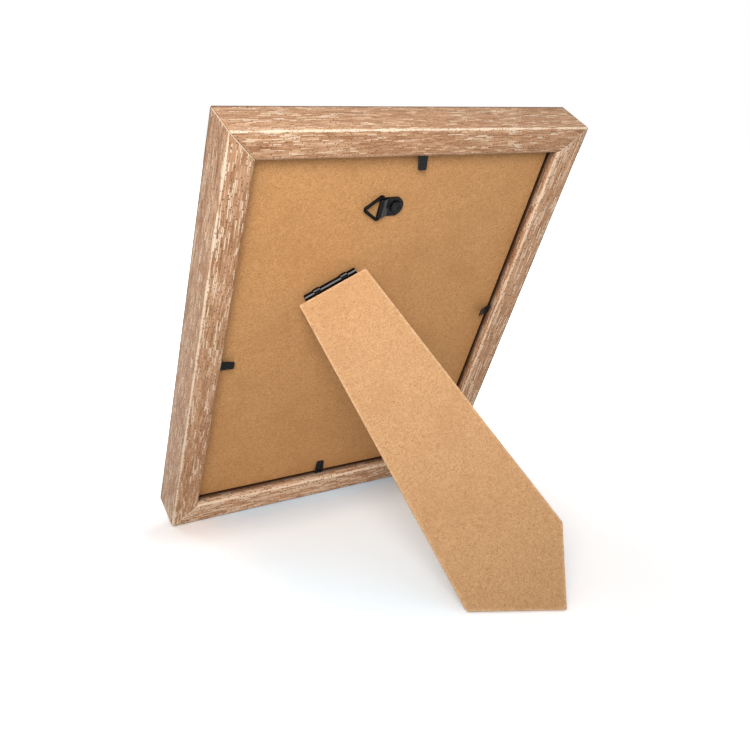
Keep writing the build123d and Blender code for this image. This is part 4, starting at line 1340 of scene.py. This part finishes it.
class FRAME_OT_hanger(bpy.types.Operator):
    """Build the hanger: folded strap, rivet and wire ring"""

    bl_idname = "photo_frame.hanger"
    bl_label = "Hanger"

    def execute(self, context):
        hanger = context.scene.frame_hanger
        black = paint(context)
        floor = Vector(JOINTS["hanger_turn"]["pos_m"])
        place = placed(floor, ACROSS, UP, OUT)
        mesh = softened(as_mesh("strap", self.strap(hanger), place), hanger.edge)
        piece("hanger_strap_folded", mesh, "hanger", "black_steel", black, "hanger_strap")

        mesh = as_mesh("rivet", lathe(self.rivet(hanger)), place)
        piece("hanger_rivet_head", mesh, "frame", "black_steel", black, "hanger_rivet")
        wire_paint = paint_finish(context.scene.frame_colours, "black_paint_ring", WIRE_GLOSS)
        mesh = self.ring(hanger, wire_paint)
        piece("hanger_ring_wire", mesh, "ring", "black_steel", wire_paint, "hanger_ring")
        return {"FINISHED"}

    def rivet(self, hanger):
        """Section of the rivet: shank, flat head with a rounded edge, and a dish in its middle."""
        head, shank, edge = hanger.rivet_head, hanger.rivet_shank, hanger.rivet_edge
        low = 2 * hanger.strap + hanger.lift
        high = low + hanger.rivet_rise
        dish = high - edge / 3
        profile = [(0.0, 0.0), (shank, 0.0), (shank, low), (head, low)]
        for swing in evenly(0.0, pi / 2, ARC_STEPS):
            profile.append((head - edge * (1 - cos(swing)), high - edge * (1 - sin(swing))))
        return profile + [(shank * 1.15, high), (shank * 0.85, dish), (0.0, dish)]

    def ring(self, hanger, finish):
        """Wire ring that hangs from its bar in the strap's fold."""
        loop = hanger.wire + hanger.bar_gap + hanger.strap
        room = hanger.ring_height - loop
        slope = atan2(hanger.strap_width / 2, room)
        slope += asin((hanger.wire + hanger.side_gap) / hypot(room, hanger.strap_width / 2))
        droop = asin((loop + hanger.lift - hanger.wire - hanger.rest_gap) / hanger.ring_height)
        values = {
            "Base": 2 * hanger.ring_height * tan(slope),
            "Height": hanger.ring_height,
            "Bend": hanger.ring_bend,
            "Wire": hanger.wire,
            "Finish": finish,
        }
        mesh = grown(ring_tree(), values)
        bar = Vector(JOINTS["ring_flip"]["pos_m"])
        point_way = -ACROSS * cos(droop) - OUT * sin(droop)
        mesh.transform(placed(bar, point_way, -UP, point_way.cross(-UP)))
        return mesh

    def strap(self, hanger):
        """Strip that runs from its round end under the ring's bar, round it and back over itself."""
        sheet = hanger.strap
        loop_inside = hanger.wire + hanger.bar_gap
        middle_radius = loop_inside + sheet / 2
        centre = Vector((-hanger.reach, loop_inside + sheet))
        upper = sheet * 1.5
        turns = evenly(-0.5 * pi, -1.5 * pi - FOLD_SLOPE, ROUND_STEPS)
        bend = [centre + middle_radius * Vector((cos(turn), sin(turn))) for turn in turns]
        # The fold slopes down to the upper layer and eases into it
        ramp_end = bend[-1].x + (bend[-1].y - upper) / tan(FOLD_SLOPE)
        flat = [ramp_end + sheet * step for step in (-0.4, 0.0, 0.5)]
        nose = self.nose(hanger)
        line = [(x, sheet / 2) for x, _ in reversed(nose)]
        line += [tuple(point) for point in bend]
        line += [(flat[0], upper + 0.2 * sheet), (flat[1], upper + 0.03 * sheet), (flat[2], upper)]
        line += [(x, upper) for x, _ in nose]
        full = hanger.strap_width / 2
        widths = [width for _, width in reversed(nose)] + [full] * (len(bend) + len(flat))
        widths += [width for _, width in nose]
        half = (sheet - hanger.layer_gap) / 2
        rings = []
        for index, (x, z) in enumerate(line):
            before = Vector(line[max(index - 1, 0)])
            after = Vector(line[min(index + 1, len(line) - 1)])
            way = (after - before).normalized()
            side = Vector((-way.y, way.x)) * half
            width = widths[index]
            corners = ((-1, -width), (-1, width), (1, width), (1, -width))
            rings.append([(x + high * side.x, y, z + high * side.y) for high, y in corners])
        return loft(rings)

    def nose(self, hanger):
        """Places along the strap and half widths of its round end."""
        full = hanger.strap_width / 2
        radius = (full * full + hanger.nose * hanger.nose) / (2 * hanger.nose)
        centre = hanger.end - radius
        widest = asin(full / radius)
        swings = evenly(widest, 0.0, ROUND_STEPS)
        return [(centre + radius * cos(swing), radius * sin(swing)) for swing in swings]


class FRAME_OT_tabs(bpy.types.Operator):
    """Build the four bendable tabs, each with its tang in the rail"""

    bl_idname = "photo_frame.tabs"
    bl_label = "Tabs"

    def execute(self, context):
        tabs = context.scene.frame_tabs
        black = paint(context)
        half = tabs.width / 2
        tip = tabs.tip_width / 2
        root = -tabs.thickness / 2
        stub = root - tabs.bend_gap
        sunk = -tabs.bend_out - tabs.tang
        small = 2 * tabs.edge
        blade = [(-half, root), (half, root), (tip, tabs.reach), (-tip, tabs.reach)]
        blade_radii = [small, small, tabs.tip_round, tabs.tip_round]
        tang = [(-half, sunk), (half, sunk), (half, stub), (-half, stub)]
        tang_radii = [small] * len(tang)
        for side in SIDES:
            lift = getattr(tabs, f"lift_{side}")
            kinds = (
                ("blade", blade, blade_radii, lift, f"tab_{side}"),
                ("tang", tang, tang_radii, 0.0, "frame"),
            )
            for kind, corners, radii, turn, body in kinds:
                shell = plate(corners, radii, tabs.thickness, tabs.edge, tabs.rim)
                mesh = as_mesh(kind, shell, self.place(side, turn, tabs.thickness))
                piece(f"tab_{side}_{kind}", mesh, body, "black_steel", black, f"tab_{kind}_{side}")
        return {"FINISHED"}

    def place(self, side, turn, thickness):
        """Frame of a strip at a tab's bend, turned off the back panel."""
        bend = JOINTS[f"tab_bend_{side}"]
        inward = INWARD[side] * cos(turn) + OUT * sin(turn)
        outward = OUT * cos(turn) - INWARD[side] * sin(turn)
        origin = Vector(bend["pos_m"]) - outward * thickness / 2
        return placed(origin, Vector(bend["axis"]), inward, outward)


class FRAME_OT_stage(bpy.types.Operator):
    """Set the floor, the light and the camera"""

    bl_idname = "photo_frame.stage"
    bl_label = "Stage"

    def execute(self, context):
        stage = context.scene.frame_stage
        context.scene.view_settings.view_transform = "Standard"
        self.floor(stage, context.scene.frame_rails)
        self.sky(context, stage)
        self.lamps(stage)
        self.camera(context, stage)
        return {"FINISHED"}

    def seen(self, tree):
        """1 for what the camera sees, directly, in a reflection or through glass."""
        path = put(tree, "ShaderNodeLightPath")
        rays = [path.outputs[name] for name in ("Is Camera Ray", "Is Glossy Ray", "Is Transmission Ray")]
        return calc(tree, "MAXIMUM", rays[0], calc(tree, "MAXIMUM", rays[1], rays[2]))

    def floor(self, stage, rails):
        """Pale floor that keeps the frame's shadow, with painted shade near the frame, and runs out to white."""
        shell = bmesh.new()
        cells = {"x_segments": FLOOR_CELLS, "y_segments": FLOOR_CELLS}
        bmesh.ops.create_grid(shell, size=stage.floor_size / 2, **cells)
        floor = loose("floor", as_mesh("floor", shell))
        material = bpy.data.materials.new("pale_floor")
        material.use_nodes = True
        tree = material.node_tree
        tree.nodes.clear()
        seen = self.seen(tree)
        where = put(tree, "ShaderNodeTexCoord").outputs["Object"]
        off = size_of(tree, where)
        under = fade(tree, off, stage.floor_under, stage.floor_near)
        bright = tint(tree, under, FLOOR_UNDER, FLOOR_OUTSIDE)

        # Painted shade: behind the edge that the frame rests on, the floor that is seen is darker and cooler,
        # which paints out the wood's warm light and deepens the shade there
        x, y, _ = split(tree, where)
        rest_edge = on_back(0.0, -outer_height(rails) / 2, 0.0).y
        aside = calc(tree, "ABSOLUTE", x)
        beside = calc(tree, "MAXIMUM", calc(tree, "SUBTRACT", aside, OUTER_WIDTH / 2), 0.0)
        behind = calc(tree, "SUBTRACT", y, rest_edge)
        off_edge = size_of(tree, merge(tree, beside, behind))
        close = fade(tree, off_edge, stage.floor_contact, 0.0)
        close = calc(tree, "MULTIPLY", close, fade(tree, behind, -rails.depth, 0.0))
        ends = fade(tree, aside, OUTER_WIDTH / 4, OUTER_WIDTH / 2)
        shade = tint(tree, ends, FLOOR_SHADE_BEHIND_EDGE, FLOOR_SHADE_AT_ENDS)
        bright = tint(tree, close, bright, shade)
        pale = tint(tree, seen, FLOOR_UNSEEN, bright)
        matte = put(tree, "ShaderNodeBsdfDiffuse", {"Color": pale})
        white = fade(tree, off, stage.floor_near, stage.floor_far)
        hue = tint(tree, white, BLACK, WHITE)
        glow = put(tree, "ShaderNodeEmission", {"Color": hue, "Strength": seen})
        both = put(tree, "ShaderNodeAddShader", {0: matte.outputs[0], 1: glow.outputs[0]})
        put(tree, "ShaderNodeOutputMaterial", {"Surface": both.outputs[0]})
        floor.data.materials.append(material)

    def sky(self, context, stage):
        """Even light from all round, which shows as white."""
        world = bpy.data.worlds.new("studio")
        context.scene.world = world
        world.use_nodes = True
        tree = world.node_tree
        level = put(tree, "ShaderNodeMix", {0: self.seen(tree), 2: stage.sky, 3: 1.0}).outputs[0]
        fill(tree, tree.nodes["Background"], {"Color": WHITE, "Strength": level})

    def lamps(self, stage):
        """Soft lamp above the camera, aimed at the leg's top, and a broad one on the picture."""
        for name, (size, spread, spot, target) in LAMPS.items():
            light = bpy.data.lights.new(name, "AREA")
            light.energy = getattr(stage, name)
            light.shape = "DISK"
            light.size = size
            light.spread = spread
            lamp = loose(name, light)
            lamp.location = spot
            lamp.rotation_mode = "QUATERNION"
            lamp.rotation_quaternion = (Vector(target) - lamp.location).to_track_quat("-Z", "Y")
            # The glass doesn't mirror the lamp that lights the picture
            lamp.visible_glossy = name != "on_picture"

    def camera(self, context, stage):
        """Camera at the photograph's place."""
        data = bpy.data.cameras.new("camera")
        data.lens = stage.lens
        data.clip_start = NEAR_CLIP
        camera = loose("camera", data)
        turn, height = stage.azimuth, stage.elevation
        away = Vector((sin(turn) * cos(height), -cos(turn) * cos(height), sin(height)))
        camera.location = Vector(stage.target) + away * stage.distance
        camera.rotation_mode = "QUATERNION"
        roll = Quaternion((0.0, 0.0, 1.0), stage.roll)
        camera.rotation_quaternion = (-away).to_track_quat("-Z", "Y") @ roll
        context.scene.camera = camera


class FRAME_PT_sidebar(bpy.types.Panel):
    """Sizes, colours and steps of the photo frame"""

    bl_idname = "FRAME_PT_sidebar"
    bl_label = "Photo frame"
    bl_space_type = "VIEW_3D"
    bl_region_type = "UI"
    bl_category = "Photo frame"

    def draw(self, context):
        for step in STEPS:
            self.layout.operator(step.bl_idname)
        for name, group in SETTINGS.items():
            box = self.layout.box()
            box.label(text=group.__name__)
            for setting in group.__annotations__:
                box.prop(getattr(context.scene, name), setting)


STEPS = (
    FRAME_OT_rails,
    FRAME_OT_layers,
    FRAME_OT_leg,
    FRAME_OT_hinge,
    FRAME_OT_hanger,
    FRAME_OT_tabs,
    FRAME_OT_stage,
)
CLASSES = (*SETTINGS.values(), *STEPS, FRAME_PT_sidebar)


def register():
    for kind in CLASSES:
        bpy.utils.register_class(kind)
    for name, group in SETTINGS.items():
        setattr(bpy.types.Scene, name, PointerProperty(type=group))


def unregister():
    for name in SETTINGS:
        delattr(bpy.types.Scene, name)
    for kind in reversed(CLASSES):
        bpy.utils.unregister_class(kind)


def main():
    register()
    bpy.ops.photo_frame.rails()
    bpy.ops.photo_frame.layers()
    bpy.ops.photo_frame.leg()
    bpy.ops.photo_frame.hinge()
    bpy.ops.photo_frame.hanger()
    bpy.ops.photo_frame.tabs()
    bpy.ops.photo_frame.stage()


if __name__ == "__main__":
    main()
